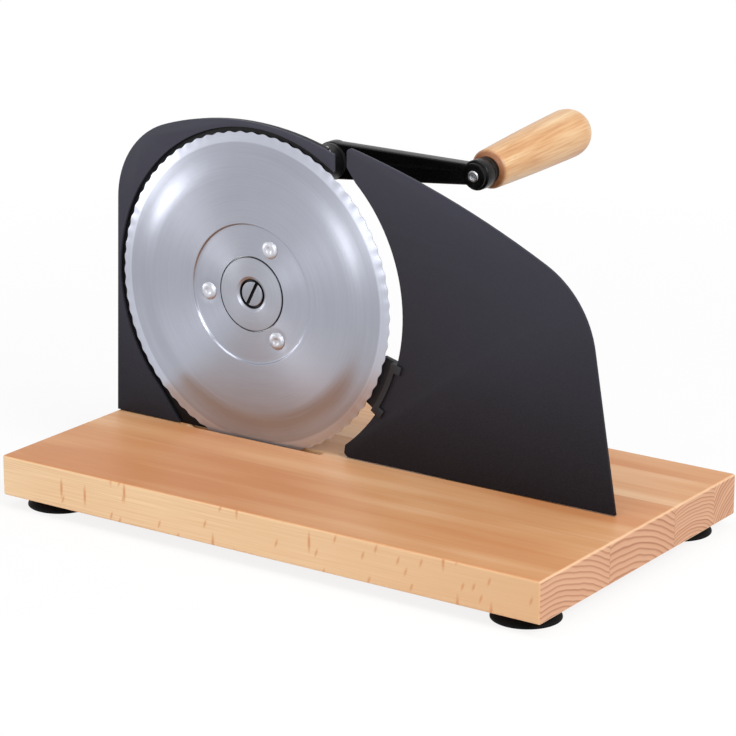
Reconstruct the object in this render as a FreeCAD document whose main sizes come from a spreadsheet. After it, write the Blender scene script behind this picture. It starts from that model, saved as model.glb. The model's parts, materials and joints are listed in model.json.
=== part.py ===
import FreeCAD, Part
import math
import os
from types import SimpleNamespace

from FreeCAD import Placement, Rotation, Vector

# Hand cranked bread slicer on a beech board.
# While it is built, X runs along the board from its left end, Y from the front edge to the
# rear, and Z up from the board's top. At the end the part moves so that its origin is the
# middle of its footprint, on the surface that the feet stand on.
# Depths named "behind the plate" are measured rearwards from the front face of the blade plate.

doc = FreeCAD.newDocument("BreadSlicer")

# Driving sizes in millimetres, angles in degrees, and counts
driving_sizes = [
    # board
    ("board_length", 360),
    ("board_depth", 210),
    ("board_thickness", 24),
    ("board_round", 1.5),
    # feet
    ("foot_radius", 19.2),
    ("foot_height", 7.4),
    ("foot_waist_radius", 13),
    ("foot_collar", 1.5),
    ("foot_rim_width", 2.5),
    ("foot_hollow", 3.5),
    ("foot_inset_side", 23),
    ("foot_inset_end", 24),
    ("wood_screw_radius", 2),
    ("wood_screw_head_radius", 4),
    ("wood_screw_head_height", 2.4),
    ("wood_screw_bite", 12),
    # blade plate
    ("plate_line", 105),
    ("sheet_thickness", 2),
    ("plate_lift", 0.6),
    ("plate_left", 0.1),
    ("plate_side_band", 1.72),
    ("plate_top_band", 5.05),
    ("plate_crown_radius", 180.5),
    ("plate_crown_offset", 6.6),
    ("plate_corner_radius", 51.2),
    ("plate_lean", 1.56),
    ("rim_gap", 1.8),
    ("cut_foot_bearing", 224.7),
    ("cut_foot_slope", 52.3),
    ("stud_radius", 1.5),
    ("corner_stud_bearing", 137.5),
    ("nut_radius", 3.2),
    ("nut_height", 2.4),
    # blade
    ("blade_radius", 95),
    ("blade_height", 87.6),
    ("blade_thickness", 1.2),
    ("blade_edge_thickness", 0.3),
    ("tooth_count", 72),
    ("tooth_depth", 1.1),
    ("bevel_width", 6.5),
    ("shoulder_radius", 80),
    ("crown_radius", 72),
    ("dish_height", 2.2),
    ("seat_radius", 41),
    ("seat_depth", 1.2),
    ("rivet_count", 3),
    ("rivet_circle", 30.7),
    ("rivet_first_angle", 65),
    ("rivet_radius", 2.5),
    ("rivet_head_radius", 5),
    ("rivet_head_height", 0.9),
    ("slot_clearance", 5),
    ("slot_front", 1.6),
    ("slot_width", 6),
    # hub of the blade
    ("hub_disc_radius", 21.8),
    ("hub_disc_gap", 0.6),
    ("hub_disc_proud", 0.3),
    ("hub_cup_radius", 12),
    ("hub_cup_depth", 3),
    ("hub_cup_floor", 2),
    ("screw_head_radius", 7.4),
    ("screw_head_gap", 1),
    ("screw_head_sink", 2),
    ("screw_head_height", 1.9),
    ("screw_radius", 3),
    ("screw_length", 14),
    ("screw_slot_width", 2),
    ("screw_slot_depth", 1.2),
    ("screw_slot_angle", 63),
    ("drive_flange_radius", 38),
    ("drive_flange_thickness", 4),
    # gears
    ("gear_module", 2),
    ("gear_teeth", 58),
    ("pinion_teeth", 14),
    ("gear_addendum", 0.9),
    ("gear_dedendum", 1.25),
    ("gear_backlash", 0.4),
    ("pressure_angle", 20),
    ("gear_start", 7.5),
    ("gear_width", 8),
    ("gear_web", 3),
    ("gear_rim", 5),
    ("gear_hub_radius", 16),
    ("gear_window_count", 6),
    ("gear_window_radius", 9),
    ("crank_bearing_angle", 76.25),
    # gear housing
    ("floor_thickness", 4),
    ("floor_inset", 0.5),
    ("floor_shoulder_bearing", 37.5),
    ("floor_heel_bearing", -58),
    ("floor_end_inset", 6.7),
    ("case_depth", 12),
    ("case_wall", 2),
    ("case_clearance", 1),
    ("cover_thickness", 2.5),
    ("cover_screw_radius", 1.5),
    ("cover_lug_radius", 4.5),
    ("cover_lug_first", 112),
    ("cover_lug_second", 200),
    ("cover_lug_third", 285),
    ("housing_foot_depth", 30),
    ("housing_foot_thickness", 4),
    ("housing_foot_left", 19.5),
    ("housing_foot_right", 5.7),
    ("rib_thickness", 3),
    ("rib_height", 18),
    ("shaft_boss_wall", 4),
    ("shaft_boss_length", 12.5),
    ("crank_boss_wall", 3.7),
    ("crank_boss_length", 30.5),
    # shafts and bushes
    ("running_gap", 0.05),
    ("seat_gap", 0.02),
    ("face_gap", 0.3),
    ("blade_shaft_radius", 8),
    ("blade_bush_wall", 3),
    ("crank_shaft_radius", 5),
    ("crank_bush_wall", 2),
    ("crank_spigot_radius", 3.5),
    ("crank_spigot_length", 3),
    ("clip_thickness", 1),
    ("clip_width", 3),
    # crank
    ("arm_length", 98.5),
    ("arm_rest_angle", 2.64),
    ("arm_thickness", 8),
    ("arm_start", 54),
    ("arm_boss_radius", 11.2),
    ("arm_eye_radius", 8.7),
    ("arm_bar_root", 10.6),
    ("arm_bar_end", 6),
    ("eye_proud", 2),
    ("eye_back", 0.8),
    ("eye_step", 1.4),
    ("arm_bevel", 0.6),
    ("crank_nut_radius", 6.5),
    ("crank_nut_height", 6),
    ("crank_washer_thickness", 1.2),
    # handle
    ("handle_lean", 3.6),
    ("collar_radius", 8),
    ("collar_length", 4),
    ("spindle_radius", 3),
    ("spindle_head_radius", 3.4),
    ("spindle_head_height", 1),
    ("grip_length", 97),
    ("grip_thin_radius", 11.4),
    ("grip_thick_radius", 14.4),
    ("grip_chamfer", 1.5),
    ("grip_end_length", 13),
    ("grip_pocket_radius", 6.6),
    ("grip_pocket_depth", 14),
    ("handle_screw_head_radius", 5.5),
    ("handle_screw_head_height", 3),
    ("handle_tap_depth", 12),
    # slice guide
    ("guide_setback", 2.5),
    ("guide_travel", 20),
    ("guide_gap", 6.5),
    ("plate_gap", 7.2),
    ("guide_top_rise", 4.18),
    ("guide_top_inset", 3),
    ("guide_heel_bearing", 46.6),
    ("guide_heel_rise", 8.1),
    ("guide_toe_height", 7.8),
    ("guide_end_margin", 19),
    ("guide_right_lean", 9.8),
    ("guide_crown_radius", 579),
    ("guide_crown_fall", 13.9),
    ("guide_shoulder_radius", 60),
    ("guide_corner_round", 2.5),
    ("guard_first_angle", -34.5),
    ("guard_last_angle", -15),
    ("guard_clearance", 3.2),
    ("guard_cover", 4),
    ("guard_proud", 1.2),
    ("guard_lip", 5.5),
    ("guard_lip_thickness", 3),
    ("guard_hook_angle", 3),
    # guide carriage and its bearing block
    ("carriage_offset", 39.5),
    ("carriage_half_width", 34),
    ("carriage_bottom", 3),
    ("carriage_top", 47),
    ("carriage_thickness", 5),
    ("carriage_corner", 5),
    ("guide_stud_side", 20),
    ("guide_stud_height", 37),
    ("rod_radius", 4),
    ("rod_side", 27),
    ("rod_height", 17),
    ("rod_length", 67),
    ("rod_bush_wall", 2),
    ("spindle_height", 25),
    ("adjuster_radius", 4),
    ("adjuster_front", 23),
    ("adjuster_collar_radius", 6.5),
    ("adjuster_collar_length", 3),
    ("nut_tube_radius", 7),
    ("nut_tube_length", 20.5),
    ("nut_tube_room", 2.5),
    ("block_start", 33),
    ("block_length", 29),
    ("block_wall", 9),
    ("block_half_width", 35),
    ("block_height", 34),
    ("block_ear", 9),
    ("block_ear_thickness", 5),
    ("block_round", 4),
    ("knob_radius", 18),
    ("knob_length", 17),
    ("knob_skirt", 4),
    ("knob_flute_count", 12),
    ("knob_flute_radius", 3.2),
    ("knob_pocket_radius", 7),
    ("knob_pocket_depth", 5),
    ("knob_screw_reach", 7),
    ("tap_margin", 1),
]

sheet = doc.addObject("Spreadsheet::Sheet", "Sizes")
for row, (name, value) in enumerate(driving_sizes, start=1):
    sheet.set("A%d" % row, name)
    sheet.set("B%d" % row, str(value))
    sheet.setAlias("B%d" % row, name)
doc.recompute()
d = SimpleNamespace(**{name: float(sheet.get(name)) for name, value in driving_sizes})
sub_parts = []


# Sketches and features

def origin_plane(body, role):
    return next(f for f in body.Origin.OriginFeatures if f.Role == role)


def new_body(label):
    body = doc.addObject("PartDesign::Body", label)
    body.Label = label
    sub_parts.append(body)
    return body


def via(x, y):
    # A point that the edge between its two neighbours curves through
    return (x, y, "via")


def outline(points):
    # A closed loop of straight edges, with an arc wherever a via point stands between two points
    ring = list(points) + [points[0]]
    edges = []
    here = 0
    while here < len(points):
        start = Vector(ring[here][0], ring[here][1], 0)
        after = ring[here + 1]
        if len(after) == 3:
            end = ring[here + 2]
            edges.append(Part.Arc(start, Vector(after[0], after[1], 0), Vector(end[0], end[1], 0)))
            here += 2
        else:
            edges.append(Part.LineSegment(start, Vector(after[0], after[1], 0)))
            here += 1
    return edges


def rectangle(left, right, bottom, top):
    return outline([(left, bottom), (right, bottom), (right, top), (left, top)])


def circle(x, y, radius):
    return [Part.Circle(Vector(x, y, 0), Vector(0, 0, 1), radius)]


def polar(radius, degrees, centre=(0, 0)):
    angle = math.radians(degrees)
    return (centre[0] + radius * math.cos(angle), centre[1] + radius * math.sin(angle))


def sketch_on(body, role, start, loops):
    sketch = body.newObject("Sketcher::SketchObject", "Sketch")
    sketch.AttachmentSupport = [(origin_plane(body, role), "")]
    sketch.MapMode = "FlatFace"
    sign = "-" if role == "XZ_Plane" else ""
    sketch.setExpression("AttachmentOffset.Base.z", "%s(%s)" % (sign, start))
    for loop in loops:
        sketch.addGeometry(loop, False)
    return sketch


def pad(body, role, start, length, loops):
    # Material from the start depth over the length, along +Y on XZ, +Z on XY and +X on YZ
    feature = body.newObject("PartDesign::Pad", "Pad")
    feature.Profile = sketch_on(body, role, start, loops)
    feature.setExpression("Length", length)
    feature.Reversed = role == "XZ_Plane"
    doc.recompute()
    return feature


def pocket(body, role, start, length, loops):
    # The same span cut away. It has to take material off
    before = body.Shape.Volume
    feature = body.newObject("PartDesign::Pocket", "Pocket")
    feature.Profile = sketch_on(body, role, start, loops)
    feature.setExpression("Length", length)
    feature.Reversed = role != "XZ_Plane"
    doc.recompute()
    assert body.Shape.Volume < before, body.Label + ": a pocket cuts nothing"
    return feature


def revolve(body, role, loops):
    # Turned about the sketch's upright axis: Y on the XY plane, Z on the XZ plane
    feature = body.newObject("PartDesign::Revolution", "Revolution")
    sketch = sketch_on(body, role, "0", loops)
    feature.Profile = sketch
    feature.ReferenceAxis = (sketch, ["V_Axis"])
    feature.Angle = 360
    doc.recompute()
    return feature


def ring_pattern(body, feature, role, count):
    pattern = body.newObject("PartDesign::PolarPattern", "PolarPattern")
    pattern.Originals = [feature]
    pattern.Axis = (origin_plane(body, role), [""])
    pattern.Angle = 360
    pattern.setExpression("Occurrences", count)
    body.Tip = pattern
    doc.recompute()
    return pattern


def round_edges(body, kind, size, wanted):
    # A fillet or chamfer on the edges that the test picks from the body so far
    base = body.Tip
    names = ["Edge%d" % (i + 1) for i, edge in enumerate(base.Shape.Edges) if wanted(edge)]
    feature = body.newObject("PartDesign::" + kind, kind)
    feature.Base = (base, names)
    feature.setExpression("Radius" if kind == "Fillet" else "Size", size)
    doc.recompute()
    return feature


def turned(label, points, role="XY_Plane"):
    body = new_body(label)
    revolve(body, role, [outline(points)])
    return body


def place(body, x, y, z, rotation=None):
    body.Placement = Placement(Vector(x, y, z), rotation or Rotation())
    return body


def tangent_corner(centre, big_radius, foot, lean, radius, side):
    # The arc that rounds the corner between a big arc and a leaning straight edge inside it.
    # Returns its end on the big arc, a point midway and its end on the edge.
    along = (math.sin(math.radians(lean)), math.cos(math.radians(lean)))
    inward = (side * along[1], -side * along[0])
    base = (foot[0] + radius * inward[0] - centre[0], foot[1] + radius * inward[1] - centre[1])
    dot = base[0] * along[0] + base[1] * along[1]
    square = base[0] ** 2 + base[1] ** 2 - (big_radius - radius) ** 2
    reach = -dot + math.sqrt(dot ** 2 - square)
    middle = (centre[0] + base[0] + reach * along[0], centre[1] + base[1] + reach * along[1])
    span = math.hypot(middle[0] - centre[0], middle[1] - centre[1])
    out = ((middle[0] - centre[0]) / span, (middle[1] - centre[1]) / span)
    on_arc = (middle[0] + radius * out[0], middle[1] + radius * out[1])
    on_edge = (middle[0] - radius * inward[0], middle[1] - radius * inward[1])
    half = (out[0] - inward[0], out[1] - inward[1])
    size = math.hypot(half[0], half[1])
    midway = (middle[0] + radius * half[0] / size, middle[1] + radius * half[1] / size)
    return on_arc, midway, on_edge


def tip_radius(teeth):
    return d.gear_module * (teeth / 2 + d.gear_addendum)


def case_radii(extra):
    room = d.case_clearance + extra
    return tip_radius(d.gear_teeth) + room, tip_radius(d.pinion_teeth) + room


# Places that several pieces share

cut_radius = d.blade_radius + d.rim_gap
lean_slope = math.tan(math.radians(d.plate_lean))
side_band = d.plate_side_band * math.sqrt(1 + lean_slope ** 2)
blade_x = d.plate_left + d.blade_height * lean_slope + side_band + cut_radius
blade_centre = (blade_x, d.blade_height)
gear_spacing = d.gear_module * (d.gear_teeth + d.pinion_teeth) / 2
crank_centre = polar(gear_spacing, d.crank_bearing_angle, blade_centre)
floor_back = d.sheet_thickness + d.floor_thickness
case_back = floor_back + d.case_depth
cover_back = case_back + d.cover_thickness
shaft_boss_end = cover_back + d.shaft_boss_length
crank_boss_end = cover_back + d.crank_boss_length
arm_end = d.arm_start + d.arm_thickness
seat_front = d.seat_depth - d.dish_height
seat_back = seat_front + d.blade_thickness
flange_back = seat_back + d.drive_flange_thickness
guide_back = d.guide_setback + d.sheet_thickness
carriage_back = guide_back + d.carriage_thickness
block_end = d.block_start + d.block_length
shaft_boss_radius = d.blade_shaft_radius + d.running_gap + d.blade_bush_wall + d.seat_gap + d.shaft_boss_wall
crank_boss_radius = d.crank_shaft_radius + d.running_gap + d.crank_bush_wall + d.seat_gap + d.crank_boss_wall
floor_right = polar(case_radii(d.case_wall)[0], d.floor_shoulder_bearing, blade_centre)[0]
plate_right = floor_right + d.floor_end_inset
guide_left = plate_right + d.plate_gap
carriage_place = blade_x + d.blade_radius + d.guide_gap + d.carriage_offset
plate_crest = d.blade_height + d.blade_radius + d.plate_top_band
crown_centre = (blade_x - d.plate_crown_offset, plate_crest - d.plate_crown_radius)


def at_plate(body, centre, behind=0, rotation=None):
    return place(body, centre[0], d.plate_line + behind, centre[1], rotation)


# Board and feet

def foot_places():
    near = d.foot_inset_side
    far = d.board_length - d.foot_inset_side
    front = d.foot_inset_end
    rear = d.board_depth - d.foot_inset_end
    return {
        "front_left": (near, front),
        "front_right": (far, front),
        "rear_left": (near, rear),
        "rear_right": (far, rear),
    }


def floor_heel():
    return polar(case_radii(d.case_wall)[0], d.floor_heel_bearing, blade_centre)


def housing_foot_span():
    return d.plate_left + d.housing_foot_left, floor_heel()[0] - d.housing_foot_right


def housing_screw_places():
    left, right = housing_foot_span()
    left += 3 * d.wood_screw_head_radius
    right -= 3 * d.wood_screw_head_radius
    behind = d.plate_line + floor_back + 0.6 * d.housing_foot_depth
    return [(left, behind), ((left + right) / 2, behind), (right, behind)]


def block_screw_places():
    side = d.block_half_width + d.block_ear / 2
    middle = d.plate_line + d.block_start + d.block_length / 2
    return [(carriage_place - side, middle), (carriage_place + side, middle)]


def make_board():
    body = new_body("base_board")
    corners = [(0, 0), (d.board_length, 0), (d.board_length, d.board_depth), (0, d.board_depth)]
    pad(body, "XY_Plane", "-Sizes.board_thickness", "Sizes.board_thickness", [outline(corners)])
    round_edges(body, "Fillet", "Sizes.board_round", lambda edge: True)
    # The slot is the bottom of a saw cut about the blade's own axis
    slot_radius = d.blade_radius + d.slot_clearance
    reach = math.sqrt(slot_radius ** 2 - d.blade_height ** 2)
    left = (blade_x - reach, 0)
    right = (blade_x + reach, 0)
    lowest = via(blade_x, d.blade_height - slot_radius)
    above = d.board_round
    loop = outline([(left[0], above), left, lowest, right, (right[0], above)])
    pocket(body, "XZ_Plane", "Sizes.plate_line - Sizes.slot_front", "Sizes.slot_width", [loop])
    hole = d.wood_screw_radius + d.seat_gap
    depth = "Sizes.wood_screw_bite + Sizes.face_gap"
    drilled = [circle(x, y, hole) for x, y in housing_screw_places() + block_screw_places()]
    pocket(body, "XY_Plane", "-(%s)" % depth, depth, drilled)
    under = [circle(x, y, hole) for x, y in foot_places().values()]
    pocket(body, "XY_Plane", "-Sizes.board_thickness", depth, under)
    return body


def make_foot(corner, x, y):
    # A rubber suction cup: flat collar under the board, waist, wide rim and hollow underside
    bottom = -d.foot_height
    hole = d.wood_screw_radius + d.running_gap
    recess = d.wood_screw_head_radius + d.face_gap
    collar = d.foot_collar
    head_seat = bottom + d.foot_hollow + d.wood_screw_head_height
    points = [
        (hole, 0),
        (d.foot_waist_radius, 0),
        (d.foot_waist_radius, -collar),
        via(d.foot_radius - collar, bottom / 2),
        (d.foot_radius, bottom + 1),
        (d.foot_radius, bottom),
        (d.foot_radius - d.foot_rim_width, bottom),
        via((d.foot_radius + recess) / 2 - 1, bottom + 0.8 * d.foot_hollow),
        (recess, bottom + d.foot_hollow),
        (recess, head_seat),
        (hole, head_seat),
    ]
    foot = turned("foot_" + corner, points, "XZ_Plane")
    place(foot, x, y, -d.board_thickness)
    screw = wood_screw("foot_screw_" + corner, d.wood_screw_bite - head_seat)
    upside_down = Rotation(Vector(1, 0, 0), 180)
    place(screw, x, y, -d.board_thickness + head_seat, upside_down)


def dome(radius, low, high):
    # The profile of a rounded head, from its flat middle down to its edge
    return [(0, high), (0.3 * radius, high), via(0.75 * radius, high - 0.15 * (high - low)), (radius, low)]


def wood_screw(label, length):
    # Pan head above the seat at z = 0, shank below it, with a cross recess left to the finish
    head = d.wood_screw_head_radius
    tall = d.wood_screw_head_height
    point = d.wood_screw_radius
    points = dome(head, 0.35 * tall, tall) + [
        (head, 0),
        (d.wood_screw_radius, 0),
        (d.wood_screw_radius, point - length),
        (0, -length),
    ]
    return turned(label, points, "XZ_Plane")


# Blade plate and the gear housing behind it

def plate_loop(inset, bottom):
    # Left edge, rounded corner and crown of the plate, up to its right end
    lean = math.radians(d.plate_lean)
    foot = (d.plate_left + inset / math.cos(lean), 0)
    crown = d.plate_crown_radius - inset
    corner = d.plate_corner_radius - inset
    on_arc, midway, on_edge = tangent_corner(crown_centre, crown, foot, d.plate_lean, corner, 1)
    start = (foot[0] + bottom * math.tan(lean), bottom)
    return start, on_edge, midway, on_arc, crown


def crown_point(x, crown):
    return (x, crown_centre[1] + math.sqrt(crown ** 2 - (x - crown_centre[0]) ** 2))


def plate_studs():
    # One low at the left, one in the rounded corner and one near the right end of the crown
    low = (d.plate_left + 3.5 * d.nut_radius, 4.5 * d.nut_radius)
    corner = polar(cut_radius + 2.6 * d.nut_radius, d.corner_stud_bearing, blade_centre)
    end_x = floor_right - 1.3 * d.nut_radius
    end_radius = cut_radius + 0.7 * d.nut_radius
    rise = math.sqrt(end_radius ** 2 - (end_x - blade_x) ** 2)
    return [low, corner, (end_x, d.blade_height + rise)]


def make_blade_plate():
    body = new_body("blade_plate")
    start, on_edge, midway, on_arc, crown = plate_loop(0, d.plate_lift)
    middle = (plate_right + on_arc[0]) / 2
    rise = math.sqrt(cut_radius ** 2 - (plate_right - blade_x) ** 2)
    cut_top = (plate_right, d.blade_height + rise)
    cut_low = polar(cut_radius, d.cut_foot_bearing, blade_centre)
    run = (cut_low[1] - d.plate_lift) / math.tan(math.radians(d.cut_foot_slope))
    loop = outline([
        start,
        on_edge,
        via(*midway),
        on_arc,
        via(*crown_point(middle, crown)),
        crown_point(plate_right, crown),
        cut_top,
        via(*polar(cut_radius, 140, blade_centre)),
        cut_low,
        (cut_low[0] + run, d.plate_lift),
    ])
    pad(body, "XZ_Plane", "0", "Sizes.sheet_thickness", [loop])
    studs = [circle(x, z, d.stud_radius) for x, z in plate_studs()]
    length = "Sizes.floor_thickness + Sizes.nut_height + 1"
    pad(body, "XZ_Plane", "Sizes.sheet_thickness", length, studs)
    place(body, 0, d.plate_line, 0)
    for number, (x, z) in enumerate(plate_studs(), start=1):
        nut = hex_nut("plate_nut_%d" % number, d.nut_radius, "Sizes.nut_height", d.stud_radius)
        at_plate(nut, (x, z), floor_back)


def hex_nut(label, radius, height, bore):
    body = new_body(label)
    corners = [polar(radius, 60 * k) for k in range(6)]
    hole = circle(0, 0, bore + d.seat_gap)
    pad(body, "XZ_Plane", "0", height, [outline(corners), hole])
    return body


def case_loop(gear_radius, pinion_radius):
    # Two circles about the gear axes, joined by the straight lines that touch both
    dx = crank_centre[0] - blade_centre[0]
    dz = crank_centre[1] - blade_centre[1]
    line = math.degrees(math.atan2(dz, dx))
    swing = math.degrees(math.acos((gear_radius - pinion_radius) / gear_spacing))
    return outline([
        polar(gear_radius, line + swing, blade_centre),
        via(*polar(gear_radius, line + 180, blade_centre)),
        polar(gear_radius, line - swing, blade_centre),
        polar(pinion_radius, line - swing, crank_centre),
        via(*polar(pinion_radius, line, crank_centre)),
        polar(pinion_radius, line + swing, crank_centre),
    ])


def lug_places():
    # Screw lugs round the case, clear of the side where the slices pass
    radius = case_radii(d.case_wall)[0] + 0.3 * d.cover_lug_radius
    bearings = (d.cover_lug_first, d.cover_lug_second, d.cover_lug_third)
    return [polar(radius, angle, blade_centre) for angle in bearings]


def make_housing():
    body = new_body("gear_housing")
    outer = case_radii(d.case_wall)
    inner = case_radii(0)
    start, on_edge, midway, on_arc, crown = plate_loop(d.floor_inset, 0)
    shoulder = polar(outer[0], d.floor_shoulder_bearing, blade_centre)
    heel = floor_heel()
    loop = outline([
        start,
        on_edge,
        via(*midway),
        on_arc,
        via(*crown_point((floor_right + on_arc[0]) / 2, crown)),
        crown_point(floor_right, crown),
        shoulder,
        via(*polar(outer[0], (d.floor_shoulder_bearing + d.floor_heel_bearing) / 2, blade_centre)),
        heel,
        (heel[0], 0),
    ])
    window = circle(*blade_centre, d.drive_flange_radius + 2 * d.case_clearance)
    studs = [circle(x, z, d.stud_radius + 2 * d.running_gap) for x, z in plate_studs()]
    pad(body, "XZ_Plane", "Sizes.sheet_thickness", "Sizes.floor_thickness", [loop, window] + studs)
    lugs = [circle(x, z, d.cover_lug_radius) for x, z in lug_places()]
    back = "Sizes.sheet_thickness + Sizes.floor_thickness"
    for lug in lugs:
        pad(body, "XZ_Plane", back, "Sizes.case_depth", [lug])
    pad(body, "XZ_Plane", back, "Sizes.case_depth", [case_loop(*outer)])
    pocket(body, "XZ_Plane", back, "Sizes.case_depth", [case_loop(*inner)])
    left, right = housing_foot_span()
    foot = rectangle(left, right, 0, d.housing_foot_thickness)
    pad(body, "XZ_Plane", back, "Sizes.housing_foot_depth", [foot])
    for side in (0.3, 0.7):
        x = left + side * (right - left)
        top = d.housing_foot_thickness + d.rib_height
        rib = [
            (floor_back, d.housing_foot_thickness),
            (floor_back + 0.8 * d.housing_foot_depth, d.housing_foot_thickness),
            (floor_back, top),
        ]
        pad(body, "YZ_Plane", str(x - d.rib_thickness / 2), "Sizes.rib_thickness", [outline(rib)])
    # Holes: cover screws, foot screws and the blind bearing for the front end of the crank shaft
    screw = d.cover_screw_radius + d.seat_gap
    holes = [circle(x, z, screw) for x, z in lug_places()]
    pocket(body, "XZ_Plane", back, "Sizes.case_depth", holes)
    clear = d.wood_screw_radius + 2 * d.running_gap
    drilled = [circle(x, y - d.plate_line, clear) for x, y in housing_screw_places()]
    pocket(body, "XY_Plane", "0", "Sizes.housing_foot_thickness", drilled)
    spigot = circle(*crank_centre, d.crank_spigot_radius + d.running_gap)
    depth = "Sizes.crank_spigot_length + Sizes.face_gap"
    pocket(body, "XZ_Plane", "%s - (%s)" % (back, depth), depth, [spigot])
    place(body, 0, d.plate_line, 0)
    for number, (x, y) in enumerate(housing_screw_places(), start=1):
        screw = wood_screw("housing_screw_%d" % number, d.wood_screw_bite + d.housing_foot_thickness)
        place(screw, x, y, d.housing_foot_thickness)


def make_cover():
    # Lid of the gear case with the two long bearing bosses
    body = new_body("gear_cover")
    outer = case_radii(d.case_wall)
    back = "Sizes.sheet_thickness + Sizes.floor_thickness + Sizes.case_depth"
    pad(body, "XZ_Plane", back, "Sizes.cover_thickness", [case_loop(*outer)])
    for x, z in lug_places():
        pad(body, "XZ_Plane", back, "Sizes.cover_thickness", [circle(x, z, d.cover_lug_radius)])
    outside = back + " + Sizes.cover_thickness"
    shaft_boss = circle(*blade_centre, shaft_boss_radius)
    pad(body, "XZ_Plane", outside, "Sizes.shaft_boss_length", [shaft_boss])
    crank_boss = circle(*crank_centre, crank_boss_radius)
    pad(body, "XZ_Plane", outside, "Sizes.crank_boss_length", [crank_boss])
    shaft_hole = circle(*blade_centre, shaft_boss_radius - d.shaft_boss_wall)
    through = "Sizes.cover_thickness + Sizes.shaft_boss_length"
    pocket(body, "XZ_Plane", back, through, [shaft_hole])
    crank_hole = circle(*crank_centre, crank_boss_radius - d.crank_boss_wall)
    through = "Sizes.cover_thickness + Sizes.crank_boss_length"
    pocket(body, "XZ_Plane", back, through, [crank_hole])
    holes = [circle(x, z, d.cover_screw_radius + 2 * d.running_gap) for x, z in lug_places()]
    pocket(body, "XZ_Plane", back, "Sizes.cover_thickness", holes)
    place(body, 0, d.plate_line, 0)
    for number, (x, z) in enumerate(lug_places(), start=1):
        shank = 0.8 * d.case_depth + d.cover_thickness
        radius = d.cover_screw_radius
        head = [(0, -shank), (radius, -shank), (radius, 0), (2 * radius, 0), (2 * radius, radius), (0, radius)]
        at_plate(turned("cover_screw_%d" % number, head), (x, z), cover_back)


# Blade, hub and gears

def tooth_loop():
    # Pointed waves: tips on the blade's radius, valleys one tooth depth further in
    step = 360 / d.tooth_count
    points = []
    for k in range(int(d.tooth_count)):
        points.append(polar(d.blade_radius, k * step))
        points.append(polar(d.blade_radius - d.tooth_depth, (k + 0.5) * step))
    return outline(points)


def make_blade():
    body = new_body("blade")
    t = d.blade_thickness
    edge = t - d.blade_edge_thickness
    outside = d.blade_radius + 1
    bevel = d.blade_radius - d.bevel_width
    slope = edge / d.bevel_width
    hole = d.hub_disc_radius + d.hub_disc_gap
    low = -0.2 * d.dish_height
    wide = (d.shoulder_radius + d.crown_radius) / 2 + 1
    high = -0.72 * d.dish_height
    wall = d.blade_thickness / 2
    section = outline([
        (outside, edge + slope),
        (bevel, 0),
        (d.shoulder_radius, low),
        via(wide, high),
        (d.crown_radius, -d.dish_height),
        (d.seat_radius + wall, -d.dish_height),
        (d.seat_radius, seat_front),
        (hole, seat_front),
        (hole, seat_back),
        (d.seat_radius + wall, seat_back),
        (d.seat_radius + 2 * wall, t - d.dish_height),
        (d.crown_radius, t - d.dish_height),
        via(wide, t + high),
        (d.shoulder_radius, t + low),
        (bevel, t),
        (outside, t),
    ])
    revolve(body, "XY_Plane", [section])
    waste = circle(0, 0, d.blade_radius + 3)
    pocket(body, "XZ_Plane", "-1", "Sizes.blade_thickness + 2", [waste, tooth_loop()])
    first = circle(*polar(d.rivet_circle, d.rivet_first_angle), d.rivet_radius + d.seat_gap)
    hole = pocket(body, "XZ_Plane", "-Sizes.dish_height", "2 * Sizes.dish_height", [first])
    ring_pattern(body, hole, "Y_Axis", "Sizes.rivet_count")
    at_plate(body, blade_centre)


def make_rivets():
    radius = d.rivet_radius
    head = d.rivet_head_radius
    top = seat_front - d.rivet_head_height
    for k in range(int(d.rivet_count)):
        points = [
            (0, top),
            (0.6 * head, top),
            via(0.88 * head, top + 0.25 * d.rivet_head_height),
            (head, seat_front),
            (radius, seat_front),
            (radius, flange_back),
            (0, flange_back),
        ]
        place_at = polar(d.rivet_circle, d.rivet_first_angle + k * 360 / d.rivet_count, blade_centre)
        at_plate(turned("blade_rivet_%d" % (k + 1), points), place_at)


def make_drive_flange():
    # The steel disc that the blade is riveted to
    body = new_body("drive_flange")
    bore = d.hub_cup_radius + d.seat_gap
    rim = d.drive_flange_radius
    section = outline([(bore, seat_back), (rim, seat_back), (rim, flange_back - 1), (rim - 1, flange_back), (bore, flange_back)])
    revolve(body, "XY_Plane", [section])
    first = circle(*polar(d.rivet_circle, d.rivet_first_angle), d.rivet_radius + d.seat_gap)
    hole = pocket(body, "XZ_Plane", "0", "2 * Sizes.drive_flange_thickness", [first])
    ring_pattern(body, hole, "Y_Axis", "Sizes.rivet_count")
    at_plate(body, blade_centre)


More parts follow.
